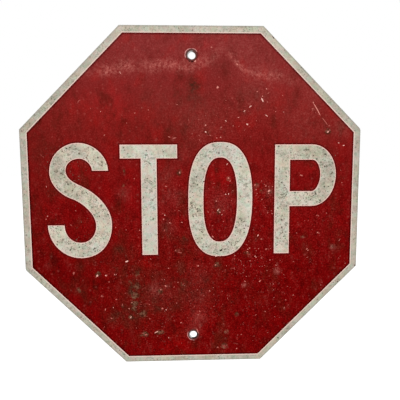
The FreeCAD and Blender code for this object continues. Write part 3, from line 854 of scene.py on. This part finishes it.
# Ways across a bolt hole, as their parts to the right and away from the sign's middle
TO_UPPER_ARC = (-0.45, 0.9)
TO_LOWER_ARC = (-0.8, 0.6)
# The way towards the lit, clean side of the rims; the rest of each rim gets painted shade and dirt
TO_LIT_CLEAN_RIM = (-0.9, 0.6)
TO_BLACK_RIM = (0.8, 0.6)

# More lengths in metres
RELIEF = 0.00002      # the height of a finish's bumps
FACE_DEPTH = 0.00005  # what lies within this of the face's plane is face
BARE_REACH = 0.006    # from a bolt hole's middle to where the sheeting starts
RIM_REACH = 0.0072    # from a bolt hole's middle to where the dirt on its rim ends
EDGE_RAGGED = 0.0016  # how widely the worn outer edge wanders
RING_RAGGED = 0.0008  # how widely the torn rings round a bolt hole wander
POST_RAGGED = 0.004   # how widely the edges of the post's mark wander

BLACK = (0.0, 0.0, 0.0)
ON_RED = 1.0  # is added to the strength of a speck of dirt that lies on the red


def maths(operation):
    """A method of Signal that adds a Math node."""
    def method(self, *others):
        return self.tree.math(operation, self, *others)
    return method


class Signal:
    """What a node gives, a number or a colour. Sums, products and coats of it add nodes."""

    __add__ = maths("ADD")
    __sub__ = maths("SUBTRACT")
    __mul__ = maths("MULTIPLY")
    __abs__ = maths("ABSOLUTE")
    at_most = maths("MINIMUM")
    at_least = maths("MAXIMUM")
    is_below = maths("LESS_THAN")
    is_above = maths("GREATER_THAN")

    def __init__(self, tree, socket):
        self.tree = tree
        self.socket = socket

    def __rsub__(self, other):
        return self.tree.math("SUBTRACT", other, self)

    def spread(self, low, high, to_low=0.0, to_high=1.0, smooth=False):
        """Its way from low to high, as a number between to_low and to_high."""
        kind = "SMOOTHSTEP" if smooth else "LINEAR"
        ends = {0: self, 1: low, 2: high, 3: to_low, 4: to_high}
        return self.tree.signal("MapRange", ends, interpolation_type=kind)

    def through(self, change, to_low=0.0, to_high=1.0, smooth=False):
        """Its way through a range of the table."""
        return self.spread(*RANGES[change], to_low, to_high, smooth)

    def clamped(self):
        return self.spread(0.0, 1.0)

    def coated(self, colour, share):
        """This colour, with as much of another over it as the share says."""
        return self.tree.mix(self, colour, share)

    def tinted(self, tint, share):
        """This colour, multiplied by a tint of the table as far as the share says."""
        return self.tree.mix(self, TINTS[tint], share, "MULTIPLY")


class Tree:
    """The nodes of a new material or world."""

    def __init__(self, owner):
        self.owner = owner
        owner.use_nodes = True
        self.nodes, self.links = owner.node_tree.nodes, owner.node_tree.links

    def node(self, kind, inputs, **settings):
        """Adds a node and feeds each of its inputs a signal or a plain value."""
        made = self.nodes.new("ShaderNode" + kind)
        for key, value in settings.items():
            setattr(made, key, value)
        for key, value in inputs.items():
            self.feed(made.inputs[key], value)
        return made

    def signal(self, kind, inputs, output=0, **settings):
        """Adds a node and gives what comes out of one of its outputs."""
        return Signal(self, self.node(kind, inputs, **settings).outputs[output])

    def feed(self, socket, value):
        if isinstance(value, Signal):
            self.links.new(value.socket, socket)
        else:
            socket.default_value = value

    def math(self, operation, *values):
        return self.signal("Math", dict(enumerate(values)), operation=operation)

    def seen_directly(self):
        """1 for rays from the camera and for what gloss and glass show of it, otherwise 0."""
        path = self.node("LightPath", {}).outputs
        rays = ("Is Camera Ray", "Is Glossy Ray", "Is Transmission Ray")
        camera, glossy, glass = (Signal(self, path[ray]) for ray in rays)
        return camera.at_least(glossy).at_least(glass)


class Finish(Tree):
    """A material in the making, with the colours that a user may change."""

    def __init__(self, name, colours):
        super().__init__(bpy.data.materials.new(name))
        self.colours = colours
        self.place = self.signal("TexCoord", {}, "Object")
        parts = self.node("SeparateXYZ", {0: self.place}).outputs
        self.x, self.y, self.z = (Signal(self, part) for part in parts)
        self.flat = self.signal("CombineXYZ", {0: self.x, 1: self.z})

    def clouds(self, size, seed, detail, roughness, stretch=None):
        """Cloudy noise whose features are about `size` metres wide."""
        where = self.place
        if stretch:
            where = self.signal("Mapping", {"Vector": where, "Scale": stretch})
        inputs = {"Vector": where, "W": seed, "Scale": 1 / size, "Detail": detail, "Roughness": roughness}
        return self.signal("TexNoise", inputs, noise_dimensions="4D")

    def noise(self, name, stretch=None):
        """A noise of the table."""
        return self.clouds(*NOISES[name], stretch)

    def dots(self, name):
        """Ragged dots of the table, 1 inside and 0 outside. Each cell has one or none."""
        size, radius, density, seed, ragged, soft = DOTS[name]
        shifted = self.signal("Mapping", {"Vector": self.flat, "Location": (seed, seed * 0.7, 0)})
        cell = self.node("TexVoronoi", {"Vector": shifted, "Scale": 1 / size}, voronoi_dimensions="2D")
        colour, distance = (Signal(self, cell.outputs[key]) for key in ("Color", "Distance"))
        chance = self.signal("SeparateColor", {0: colour})
        reach = chance.spread(1 - density, 1.0, 0.0, radius)
        rough = (self.clouds(size * 0.35, seed, 2.0, 0.5) - 0.5) * (ragged * 2)
        inside = (reach - (distance + rough)).spread(0.0, soft)
        return inside * chance.is_above(1 - density)

    def ragged(self, name, size):
        """A noise of the table as a length, up to half the size either way."""
        return (self.noise(name) - 0.5) * size

    def octagon(self, x, z):
        """The largest of |x|, |z| and (|x| + |z|) / sqrt 2, the same all along an octagon's edges."""
        across, up = abs(x), abs(z)
        return across.at_least(up).at_least((across + up) * math.sqrt(0.5))

    def distance(self, x, z):
        return self.math("SQRT", x * x + z * z)

    def along(self, out, way):
        """How far a point lies along a way across a bolt hole, `out` past the hole's middle."""
        return out * way[1] + self.x * way[0]

    def rgba(self, colour):
        """A colour as a node takes it: a signal, or four numbers from three or from a setting's name."""
        if isinstance(colour, str):
            colour = getattr(self.colours, colour)
        return colour if isinstance(colour, Signal) else (*colour, 1.0)

    def mix(self, first, second, share, mode="MIX"):
        """The first colour, changed by the second as far as the share says."""
        inputs = {0: share, 6: self.rgba(first), 7: self.rgba(second)}
        return self.signal("Mix", inputs, 2, data_type="RGBA", blend_type=mode)

    def steps(self, value, stops):
        """A colour that runs through the stops, each a value and a colour."""
        made = self.node("ValToRGB", {0: value})
        ramp = made.color_ramp
        while len(ramp.elements) < len(stops):
            ramp.elements.new(1.0)
        for element, (place, colour) in zip(ramp.elements, stops):
            element.position = place
            element.color = self.rgba(colour)
        return Signal(self, made.outputs[0])

    def mark(self, name):
        """A soft mark painted on the piece's points."""
        return self.signal("Attribute", {}, "Fac", attribute_name=name)

    def done(self, colour, roughness, specular, height=None, **others):
        """Feeds the shader's inputs and gives the material. A height becomes bumps."""
        inputs = self.nodes["Principled BSDF"].inputs
        fed = {"Base Color": self.rgba(colour), "Roughness": roughness, "Specular IOR Level": specular}
        if height is not None:
            fed["Normal"] = self.signal("Bump", {"Height": height, "Distance": RELIEF, "Strength": 1.0})
        for key, value in (fed | others).items():
            self.feed(inputs[key], value)
        return self.owner


def inside_print(f, sizes):
    """How far a point is inside the red field's edge, its height brought to its width."""
    reach = f.octagon(f.x - sizes.print_right, (f.z - sizes.print_up) * (1 / sizes.print_tall))
    return HALF - sizes.border - reach


def faded_and_lit(f, low):
    """The print's red, paler towards the top, clouded with brown and mottled by wear. The paling is partly
    fading and partly painted light: brighter light and a painted reflection towards the top.
    """
    # Painted light: the red steps from dark at the bottom to pale at the top, partly fading and partly
    # painted brighter light and reflection
    red = f.steps(f.z.through("bottom to top"), (
        (0.0, "red_low"), (0.25, "red_low"), (0.55, "red_middle"), (0.75, "red_high"), (0.97, "red_top"),
    ))
    cloud = f.noise("red cloud", RAN_DOWN)
    browned = cloud.spread(0.5, 0.66, 0.0, 0.75, smooth=True) * f.z.through("top to browned", 0.3, 1.0)
    red = red.coated("brown", browned)
    red = red.tinted("bright cloud", cloud.spread(0.48, 0.34, smooth=True))
    red = red.tinted("fresh", f.mark("fresh") * cloud.spread(0.62, 0.45))
    red = red.tinted("deep", f.mark("deep"))
    mottle = f.noise("red mottle", RAN_DOWN)
    red = red.coated("bloom", mottle.spread(0.54, 0.7, 0.0, 0.035) * low)
    return red.tinted("dark mottle", mottle.spread(0.5, 0.36, 0.0, 0.9) * low)


def dusted(f, red):
    """The red with its pale band, which is a painted reflection, its stains, pale patches and spots, and
    the share of the stains.
    """
    dust = f.noise("dust")
    uneven = f.noise("uneven bloom").spread(0.4, 0.6, 0.55, 1.25)
    # Painted reflection: the pale band along the bend near the top, broken up by the dust noise
    red = red.coated("bloom", f.mark("bloom") * dust.spread(0.4, 0.62, 0.02, 0.45) * uneven)
    stain = f.mark("stain") * f.noise("stain edge").spread(0.38, 0.62, 0.25, 1.0)
    red = red.coated("stain", stain)
    powder = dust.spread(0.36, 0.64, 0.02, 0.28)
    red = red.coated("bloom", f.mark("pale") * powder)
    spot = f.mark("spot").spread(0.15, 0.75, smooth=True)
    return red.coated("bloom", spot * powder), stain


def grained(f, red, low):
    """The red with light and dark grain, strongest among the chips of the lower half."""
    grain = f.noise("red grain")
    battered = (low * (f.mark("crowd") + 0.75)).clamped()
    lighter = grain.spread(0.52, 0.67) * battered
    red = red.tinted("light grain", lighter).coated("bloom", lighter * 0.02)
    return red.tinted("dark grain", grain.spread(0.47, 0.33) * battered)


def crusted(f, red):
    """The red with crusts, dark on the ground and olive where they flake, and the share of the olive."""
    here = (f.mark("crust") * 1.35).at_most(0.9)
    ground = here * f.noise("crust ground").spread(0.4, 0.6, 0.0, 1.7)
    red = red.coated("crust_dark", ground.spread(0.2, 0.6, 0.0, 0.8))
    flaked = here * f.noise("crust flakes").spread(0.42, 0.58, 0.0, 1.6)
    mottled = f.noise("crust mottle").spread(0.42, 0.56, 0.05, 1.0)
    crust = flaked.spread(0.34, 0.68, 0.0, 0.85) * mottled
    return red.coated("crust", crust), crust


def dotted(f, red, low):
    """The red with soft dots all over, and scuffs, dust and pits in clusters, and the share of the pits."""
    cluster = f.noise("dot clusters").spread(0.42, 0.6, 0.15, 1.35)
    crowd = ((f.mark("crowd") + 0.2) * cluster).clamped()
    red = red.coated("bloom", f.dots("soft dots") * 0.09)
    red = red.coated("scuff", f.dots("scuffs") * crowd * 0.7)
    red = red.coated("scuff", f.dots("dusting") * low * (cluster * 0.3))
    pits = f.dots("pits") * crowd
    return red.coated("red_dirt", pits * 0.75), pits


def red_print(sizes, colours):
    """Red print, paler from the top down with fading and painted light, blotched with brown, dusted, with a
    painted reflection in a pale band, and dotted with wear.

    `low` is 1 in the lower half, which is battered most, and less towards the top. The ink stands
    thick and dark along the field's edge.
    """
    f = Finish("bleached_red_print", colours)
    low = f.z.through("top to battered", 0.42, 1.0)
    red, stain = dusted(f, faded_and_lit(f, low))
    red, crust = crusted(f, grained(f, red, low))
    red, pits = dotted(f, red, low)
    red = red.tinted("thick ink", inside_print(f, sizes).through("print to thick ink", smooth=True))
    relief = f.noise("red relief") + crust * 2.0 - pits * 1.5
    dull = (f.mark("bloom") + stain).spread(0.0, 1.0, 0.42, 0.62)
    return f.done(red, dull, 0.01, relief)


def sheeting(f, soil, kept=1.0):
    """White reflective sheeting gone grey-beige, with faint green and pink flecks, and its speckle.

    `soil` says how strong its dirt is, and `kept` how much of its clouds and dirt is left.
    """
    dull = f.noise("white cloud").spread(0.42, 0.66, 0.0, 0.62, smooth=True) * kept
    white = f.mix("sheeting", "sheeting_dull", dull)
    tint, wide_tint = f.noise("white tint"), f.noise("wide tint")
    white = white.tinted("greenish", tint.spread(0.5, 0.62)).tinted("pinkish", tint.spread(0.5, 0.38))
    white = white.tinted("yellowish", wide_tint.spread(0.48, 0.62))
    white = white.tinted("bluish", wide_tint.spread(0.52, 0.38))
    patchy = f.noise("white patches").spread(0.4, 0.6, 0.25, 1.0) * kept
    white = white.coated("lichen", f.noise("blotches").spread(0.5, 0.6, 0.0, 0.78 * soil) * patchy)
    speckle = f.noise("speckle")
    white = white.coated("speckle", speckle.spread(0.53, 0.585, 0.0, 1.1 * soil) * patchy)
    white = white.coated("pink_fleck", f.noise("pink flecks").spread(0.55, 0.6, 0.0, 0.5))
    return white.coated("grime", f.dots("flecks") * kept * (0.8 * soil)), speckle


def white_legend(colours):
    """The letters: stained white sheeting, a pink line inside the edge and a dark line of ink round it.

    The depth mark is 1 inside, 0 on a letter's edge and -1 on the strip's outer side.
    """
    f = Finish("weathered_white_legend", colours)
    light, cool, depth = f.mark("light"), f.mark("cool"), f.mark("depth")
    kept = light.spread(-0.3, 0.9, 1.1, 0.72) * f.mark("clean").spread(0.0, 1.0, 1.0, 0.3)
    white, speckle = sheeting(f, 0.95, kept)
    white = white.tinted("cooler", cool.spread(0.0, 1.0)).tinted("warmer", cool.spread(0.0, -1.0))
    white = white.tinted("lighter", light.spread(0.0, 1.0)).tinted("darker", light.spread(0.0, -1.0))
    edge = f.noise("legend edge")
    white = white.coated("letter_stain", f.mark("stain") * edge.spread(0.4, 0.62, 0.05, 0.8))
    bled = depth.spread(1.0, 0.8, 0.0, 0.95) * edge.spread(0.4, 0.6, 1.0, 0.6)
    white = white.coated("edge_pink", bled)
    white = white.coated("edge_red", depth.spread(0.36, 0.22))
    white = white.coated("ink_line", depth.spread(0.02, -0.08))
    return f.done(white, speckle.spread(0.3, 0.7, 0.42, 0.6), 0.02, speckle)


def border_white(f, sizes):
    """The border: soiled sheeting with painted shade that darkens all but its top, grey at its outer edge
    and pink along the red field.
    """
    white, speckle = sheeting(f, 0.6)
    # Painted shade: the border is darker all over and lighter only near the top, as painted light falling
    # from above
    white = f.mix(BLACK, white, f.z.through("shaded to lit", 0.8, 0.91))
    inwards = HALF - (f.octagon(f.x, f.z) + f.ragged("ragged edge", EDGE_RAGGED))
    white = white.coated("edge_grey", inwards.through("border to worn edge", 0.0, 0.45, smooth=True))
    bled = inside_print(f, sizes).through("border to bled ink", 0.0, 0.75, smooth=True)
    return white.coated("edge_pink", bled), speckle


def torn_print(f, out, upper):
    """The rings of torn print round a bolt hole, dark inside and broken pink outside.

    `out` is how far a point is past the hole's centre, up for the upper hole and down for the
    lower one, and `upper` is 1 at the upper hole.
    """
    right, up = (shift * MM for shift in UPPER_SHIFT)
    ring = f.distance(f.x - upper * right, out - upper * up) + f.ragged("ragged ring", RING_RAGGED)
    lower_arc = f.along(out, TO_LOWER_ARC).through("into the lower arc")
    upper_arc = f.along(out, TO_UPPER_ARC).through("into the upper arc")
    arc = f.mix(lower_arc, upper_arc, upper)
    torn = f.mix("rim_red", "hole_brown", ring.through("red to brown") * arc.at_least(0.5))
    return torn.coated("rim_pink", ring.through("brown to pink") * arc)


def bare_metal(f, cloud, grain):
    """Dull brushed aluminium with chalky oxide, and the mark of the post up the middle of the back."""
    metal = f.mix("aluminium", "aluminium_dull", cloud.spread(0.38, 0.66, smooth=True))
    metal = metal.tinted("brushed", grain.spread(0.4, 0.65, 0.0, 0.5))
    metal = metal.coated("oxide", f.dots("oxide") * 0.35)
    post = (abs(f.x) + f.noise("post edge") * POST_RAGGED).through("back to post", 0.0, 0.5)
    return metal.coated("post_shadow", post * cloud.spread(0.3, 0.6, 0.5, 1.0))


def plate_finish(sizes, colours):
    """The plate: white sheeting on the face, bare aluminium everywhere else.

    The upper hole's bare rim is clean and lit on its upper left only, and brown with dirt and painted shade
    elsewhere. The lower one's is brown with dirt and painted shade all but on its left, and black at its
    lower right, where painted shade and dirt lie in the bore.
    """
    f = Finish("plate_sheeting_and_aluminium", colours)
    out = abs(f.z) - HOLE_Z
    upper = f.z.through("lower to upper hole")
    from_hole = f.distance(f.x, out)
    white, speckle = border_white(f, sizes)
    white = f.mix(torn_print(f, out, upper), white, from_hole.through("torn to sheeting"))

    cloud, grain = f.noise("metal cloud", WEATHERED_DOWN), f.noise("metal grain", BRUSHED_ACROSS)
    metal = bare_metal(f, cloud, grain)
    # Painted shade with dirt: the bare rims go brown all round but on the side towards the upper left
    caked_and_shaded = from_hole.is_below(RIM_REACH) * f.along(out * upper, TO_LIT_CLEAN_RIM).through("clean to caked")
    # Painted shade with dirt: the lower hole goes black at its lower right, where its bore lies in shade
    blackened = f.along(out, TO_BLACK_RIM).through("brown to black") * (1.0 - upper)
    metal = metal.coated(f.mix("hole_brown", "hole_dirt", blackened), caked_and_shaded)

    sheeted = f.y.is_below(FACE_Y + FACE_DEPTH) * (1.0 - from_hole.is_below(BARE_REACH))
    shiny = (1.0 - sheeted) * cloud.spread(0.35, 0.7, 0.95, 0.7) * (1.0 - caked_and_shaded)
    height = speckle * sheeted + grain * (1.0 - sheeted)
    rough = cloud.spread(0.3, 0.7, 0.36, 0.58)
    return f.done(f.mix(metal, white, sheeted), rough, 0.05, height, Metallic=shiny)


def chip_finish(colours):
    """Chips: bright where they reach clean sheeting, pinkish and dull where they don't."""
    f = Finish("chipped_to_the_sheeting", colours)
    chip = f.steps(f.mark("strength"), ((0.15, "chip_dim"), (0.6, "chip_pink"), (1.0, "chip")))
    chip = chip.coated("chip_dim", f.noise("chips").spread(0.5, 0.7, 0.0, 0.35))
    return f.done(chip, 0.6, 0.02)


def speck_finish(colours):
    """Dirt: brown-grey where it is thin, nearly black where it is thick, and red-black on the red."""
    f = Finish("caked_dirt", colours)
    strength = f.mark("strength")
    dirt = f.mix("letter_stain", "grime", strength)
    dirt = dirt.coated("letter_stain", f.noise("specks").spread(0.5, 0.7, 0.0, 0.4))
    dirt = dirt.coated("red_dirt", strength.is_above(ON_RED + 0.1))
    return f.done(dirt, 0.8, 0.02)


# What a user may change


def a_length(name, description, default):
    return bpy.props.FloatProperty(
        name=name, description=description, default=default, unit="LENGTH", precision=5)


def a_colour(name, description, default):
    return bpy.props.FloatVectorProperty(
        name=name, description=description, default=default, subtype="COLOR", min=0.0, max=1.0)


def a_number(name, description, default):
    return bpy.props.IntProperty(name=name, description=description, default=default, min=0)


class StopSignSizes(bpy.types.PropertyGroup):
    border: a_length("Border", "Width of the white border round the red field", 0.00945)
    print_right: a_length(
        "Print right", "How far the red field sits to the right of the plate's middle", 0.00025)
    print_up: a_length("Print up", "How far the red field sits above the plate's middle", -0.0007)
    print_tall: bpy.props.FloatProperty(
        name="Print tall", description="The red field's height over its width", default=1.0028, precision=4)
    field_lift: a_length("Field lift", "How far the red film stands in front of the plate", 0.000018)
    legend_lift: a_length("Legend lift", "How far the letters stand in front of the plate", 0.00003)
    edge_lift: a_length("Edge lift", "How far the letters' edges stand in front of the plate", 0.000042)
    edge_outside: a_length("Dark line", "Width of the dark line of ink round each letter", 0.0015)
    edge_inside: a_length("Pink line", "Width of the pink line inside each letter's edge", 0.0014)
    flake_lift: a_length("Flake lift", "How far chips and specks stand in front of the plate", 0.000056)


class StopSignColours(bpy.types.PropertyGroup):
    # From Red, bottom to Red, top the red grows paler: partly fading, partly painted light that is brighter
    # and reflecting towards the top
    red_low: a_colour("Red, bottom", "The red least bleached", (0.163, 0.0004, 0.0006))
    red_middle: a_colour("Red, middle", "The red beside the letters", (0.196, 0.0032, 0.0033))
    red_high: a_colour("Red, high", "The red above the letters", (0.215, 0.0113, 0.0098))
    red_top: a_colour("Red, top", "The red most bleached", (0.236, 0.0235, 0.0225))
    brown: a_colour("Brown", "The red where it has gone brown", (0.106, 0.0068, 0.003))
    # Also the colour of the pale band near the top, which is a painted reflection
    bloom: a_colour("Bloom", "The pale pink of scuffed and chalked print", (0.75, 0.22, 0.18))
    stain: a_colour("Stain", "Brown stain on the red", (0.055, 0.014, 0.007))
    crust: a_colour("Crust", "Olive crust in the stains", (0.22, 0.1, 0.06))
    crust_dark: a_colour("Crust ground", "Dark ground under the crust", (0.062, 0.017, 0.007))
    grime: a_colour("Grime", "Thick dirt", (0.022, 0.014, 0.009))
    red_dirt: a_colour("Dirt on red", "Dirt on the red field", (0.034, 0.006, 0.004))
    chip: a_colour("Chip", "Bare sheeting in a clean chip", (1.0, 0.56, 0.48))
    chip_pink: a_colour("Pink chip", "Thin print at a worn place", (0.72, 0.24, 0.195))
    scuff: a_colour("Scuff", "Small scuffs that show lighter print", (0.36, 0.08, 0.065))
    edge_pink: a_colour("Edge pink", "Ink that bled into the edges of the white", (0.95, 0.68, 0.6))
    edge_red: a_colour("Edge red", "The thin edge of the print over the white", (0.42, 0.06, 0.05))
    ink_line: a_colour("Ink line", "Ink that stands thick along the edges", (0.08, 0.0025, 0.002))
    chip_dim: a_colour("Dim chip", "Print only scuffed", (0.32, 0.048, 0.04))
    sheeting: a_colour("Sheeting", "White sheeting at its cleanest", (0.685, 0.637, 0.526))
    sheeting_dull: a_colour("Dull sheeting", "White sheeting gone grey", (0.485, 0.435, 0.33))
    lichen: a_colour("Blotch", "Grey-green blotches in the sheeting", (0.3, 0.29, 0.22))
    speckle: a_colour("Speckle", "Fine dark speckle in the sheeting", (0.16, 0.15, 0.11))
    pink_fleck: a_colour("Pink fleck", "Pink flecks in the sheeting", (0.62, 0.45, 0.38))
    letter_stain: a_colour("Letter stain", "Brown-grey stain on white", (0.23, 0.2, 0.145))
    edge_grey: a_colour("Edge grey", "The sheeting's worn outer edge", (0.27, 0.27, 0.24))
    # Painted shade with dirt in the lower bolt hole
    hole_dirt: a_colour("Hole dirt", "The blackest dirt in the bolt holes", (0.01, 0.003, 0.003))
    # Also laid over the bare rims as painted shade with dirt
    hole_brown: a_colour("Hole brown", "Brown dirt round the bolt holes", (0.11, 0.045, 0.037))
    rim_red: a_colour("Rim red", "Torn red print beside the bolt holes", (0.13, 0.014, 0.012))
    rim_pink: a_colour("Rim pink", "The pink arc of torn print over each bolt hole", (0.62, 0.27, 0.25))
    aluminium: a_colour("Aluminium", "Bare aluminium", (0.5, 0.5, 0.49))
    aluminium_dull: a_colour("Dull aluminium", "Oxidised aluminium", (0.4, 0.4, 0.39))
    oxide: a_colour("Oxide", "Chalky oxide spots on the back", (0.6, 0.6, 0.58))
    post_shadow: a_colour("Post mark", "Where the post kept the back from the weather", (0.33, 0.325, 0.31))
    floor: a_colour("Floor", "The studio floor", (0.8, 0.8, 0.8))


class StopSignWear(bpy.types.PropertyGroup):
    seed: a_number("Seed", "Seed of all that is scattered at random", 768)
    chips: a_number("Chips", "Random small chips to scatter", 560)
    specks: a_number("Specks", "Random specks of dirt to scatter", 700)


GROUPS = {
    "stop_sign_sizes": StopSignSizes,
    "stop_sign_colours": StopSignColours,
    "stop_sign_wear": StopSignWear,
}


# Operators


class STOPSIGN_OT_plate(bpy.types.Operator):
    """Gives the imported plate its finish"""
    bl_idname = "stop_sign.plate"
    bl_label = "Dress the Plate"

    def execute(self, context):
        scene = context.scene
        finish = plate_finish(scene.stop_sign_sizes, scene.stop_sign_colours)
        for holder in frame["nodes"][PLATE].material_slots:
            holder.material = finish
        return {"FINISHED"}


class STOPSIGN_OT_red_field(bpy.types.Operator):
    """Lays the red field on the face"""
    bl_idname = "stop_sign.red_field"
    bl_label = "Lay the Red Field"

    def execute(self, context):
        scene = context.scene
        sizes = scene.stop_sign_sizes
        flat, faces = red_field_mesh(sizes, np.random.default_rng(scene.stop_sign_wear.seed))
        y = np.full(len(flat), FACE_Y - sizes.field_lift)
        points = np.stack([flat[:, 0] * MM, y, flat[:, 1] * MM], -1)
        finish = red_print(sizes, scene.stop_sign_colours)
        marks = face_marks(flat[:, 0], flat[:, 1])
        field = new_piece("red_field", points, faces, finish, marks)
        close_film(field, sizes.field_lift)
        return {"FINISHED"}


class STOPSIGN_OT_legend(bpy.types.Operator):
    """Lays the four white letters on the red field"""
    bl_idname = "stop_sign.legend"
    bl_label = "Lay the Legend"

    def execute(self, context):
        scene = context.scene
        finish = white_legend(scene.stop_sign_colours)
        for name, shape in LETTERS.items():
            letter_piece(name, shape, scene.stop_sign_sizes, finish)
        return {"FINISHED"}


def straight(rows):
    """Marks of a table without bows, with a bow of 0 added to each."""
    return np.array([(*row, 0.0) for row in rows])


class STOPSIGN_OT_chips(bpy.types.Operator):
    """Chips and scratches the red down to the white sheeting"""
    bl_idname = "stop_sign.chips"
    bl_label = "Chip the Paint"

    def execute(self, context):
        scene = context.scene
        wear = scene.stop_sign_wear
        rng = np.random.default_rng(wear.seed + 1)
        loose = scattered(rng, wear.chips, small=0.5, large=1.9, strength=(-0.35, 0.75), crowds=CROWDS)
        loose = loose[~on_letter(loose)]
        marks = np.vstack([straight(CHIPS), np.array(SCRATCHES), loose])
        finish = chip_finish(scene.stop_sign_colours)
        flake_piece("paint_chips", marks, rng, scene.stop_sign_sizes.flake_lift, finish)
        return {"FINISHED"}


class STOPSIGN_OT_dirt(bpy.types.Operator):
    """Scatters specks of dirt over the face"""
    bl_idname = "stop_sign.dirt"
    bl_label = "Scatter the Dirt"

    def execute(self, context):
        scene = context.scene
        wear = scene.stop_sign_wear
        rng = np.random.default_rng(wear.seed + 2)
        loose = scattered(rng, wear.specks, small=0.45, large=1.8, strength=(0.2, 0.9), crowds=SPECK_CROWDS)
        seen_on_red = loose[:, STRENGTH] > 0.6
        marks = np.vstack([straight(SPECKS), loose[on_letter(loose) | seen_on_red]])
        marks[~on_letter(marks), STRENGTH] += ON_RED
        finish = speck_finish(scene.stop_sign_colours)
        flake_piece("dirt_specks", marks, rng, scene.stop_sign_sizes.flake_lift, finish)
        return {"FINISHED"}


class STOPSIGN_OT_stage(bpy.types.Operator):
    """Sets the floor, the soft lights and the camera"""
    bl_idname = "stop_sign.stage"
    bl_label = "Set the Stage"

    def execute(self, context):
        context.scene.view_settings.view_transform = "Standard"
        lay_floor(context.scene.stop_sign_colours)
        light_world(context.scene)
        soft_sun("key_light", towards=(-0.3, -0.62, 0.72), strength=1.75, spread=25)
        soft_sun("fill_light", towards=(0.7, 0.55, 0.45), strength=0.9, spread=60)
        stand_camera(context.scene)
        return {"FINISHED"}


# The studio

FLOOR_HALF = 30.0
FLOOR_LEVEL = -0.9  # well below the sign, which hangs by its bolts
FLOOR_GLOW = 0.35   # what makes the floor white where it is seen
SKY_LIGHT = 0.5     # the sky's strength as light; it is 1 where it is seen
WHITE = (1.0, 1.0, 1.0)

LENS_MM = 34.65
CAMERA_AT = (-0.0075, -0.5238, 0.0486)
CAMERA_AHEAD = (0.0333, 0.995, -0.0937)
CAMERA_UP = (0.0076, 0.0935, 0.9956)


def lay_floor(colours):
    """A wide pale floor."""
    side = np.linspace(-FLOOR_HALF, FLOOR_HALF, 9)
    x, y = np.meshgrid(side, side)
    points = np.stack([x, y, np.full(x.shape, FLOOR_LEVEL)], -1).reshape(-1, 3)
    index = np.arange(x.size).reshape(x.shape)
    mesh = bpy.data.meshes.new("floor")
    mesh.from_pydata(points.tolist(), [], cells_of(index).tolist())
    f = Finish("studio_floor", colours)
    glow = f.seen_directly() * FLOOR_GLOW
    light = {"Emission Color": f.rgba(WHITE), "Emission Strength": glow}
    mesh.materials.append(f.done("floor", 1.0, 0.0, **light))
    floor = bpy.data.objects.new("floor", mesh)
    bpy.context.scene.collection.objects.link(floor)


def light_world(scene):
    """A dome that is white where it is seen and soft grey as light."""
    world = bpy.data.worlds.new("studio")
    tree = Tree(world)
    sky = tree.nodes["Background"].inputs
    tree.feed(sky["Color"], (*WHITE, 1.0))
    tree.feed(sky["Strength"], tree.seen_directly().spread(0.0, 1.0, SKY_LIGHT, 1.0))
    scene.world = world


def soft_sun(name, towards, strength, spread):
    """A wide sun that stands in the given direction. Its spread is in degrees."""
    lamp = bpy.data.lights.new(name, "SUN")
    lamp.energy = strength
    lamp.angle = math.radians(spread)
    holder = bpy.data.objects.new(name, lamp)
    bpy.context.scene.collection.objects.link(holder)
    holder.rotation_mode = "QUATERNION"
    holder.rotation_quaternion = Vector(towards).to_track_quat("Z", "Y")
    holder.location = Vector(towards) * 3


def stand_camera(scene):
    """The viewpoint: half a metre in front, a little high and a hair to the left, tipped down."""
    lens = bpy.data.cameras.new("camera")
    lens.lens = LENS_MM
    lens.sensor_width = 36.0
    lens.clip_start = 0.01
    lens.clip_end = 200.0
    camera = bpy.data.objects.new("camera", lens)
    scene.collection.objects.link(camera)
    ahead = Vector(CAMERA_AHEAD).normalized()
    up = Vector(CAMERA_UP)
    up = (up - ahead * up.dot(ahead)).normalized()
    turn = Matrix((ahead.cross(up), up, -ahead)).transposed()
    camera.matrix_world = Matrix.Translation(CAMERA_AT) @ turn.to_4x4()
    scene.camera = camera


# The add-on

OPERATORS = (
    STOPSIGN_OT_plate, STOPSIGN_OT_red_field, STOPSIGN_OT_legend,
    STOPSIGN_OT_chips, STOPSIGN_OT_dirt, STOPSIGN_OT_stage,
)


class STOPSIGN_PT_panel(bpy.types.Panel):
    """Lists the steps that dress the sign"""
    bl_idname = "STOPSIGN_PT_panel"
    bl_label = "Stop Sign"
    bl_space_type = "VIEW_3D"
    bl_region_type = "UI"
    bl_category = "Stop Sign"

    def draw(self, context):
        for group in GROUPS:
            settings = getattr(context.scene, group)
            box = self.layout.box()
            for name in settings.__annotations__:
                box.prop(settings, name)
        for operator in OPERATORS:
            self.layout.operator(operator.bl_idname)


def register():
    for made in (*GROUPS.values(), *OPERATORS, STOPSIGN_PT_panel):
        bpy.utils.register_class(made)
    for name, group in GROUPS.items():
        setattr(bpy.types.Scene, name, bpy.props.PointerProperty(type=group))


def unregister():
    for name in GROUPS:
        delattr(bpy.types.Scene, name)
    for made in (STOPSIGN_PT_panel, *reversed(OPERATORS), *GROUPS.values()):
        bpy.utils.unregister_class(made)


def main():
    register()
    bpy.ops.stop_sign.stage()
    bpy.ops.stop_sign.plate()
    bpy.ops.stop_sign.red_field()
    bpy.ops.stop_sign.legend()
    bpy.ops.stop_sign.chips()
    bpy.ops.stop_sign.dirt()


if __name__ == "__main__":
    main()
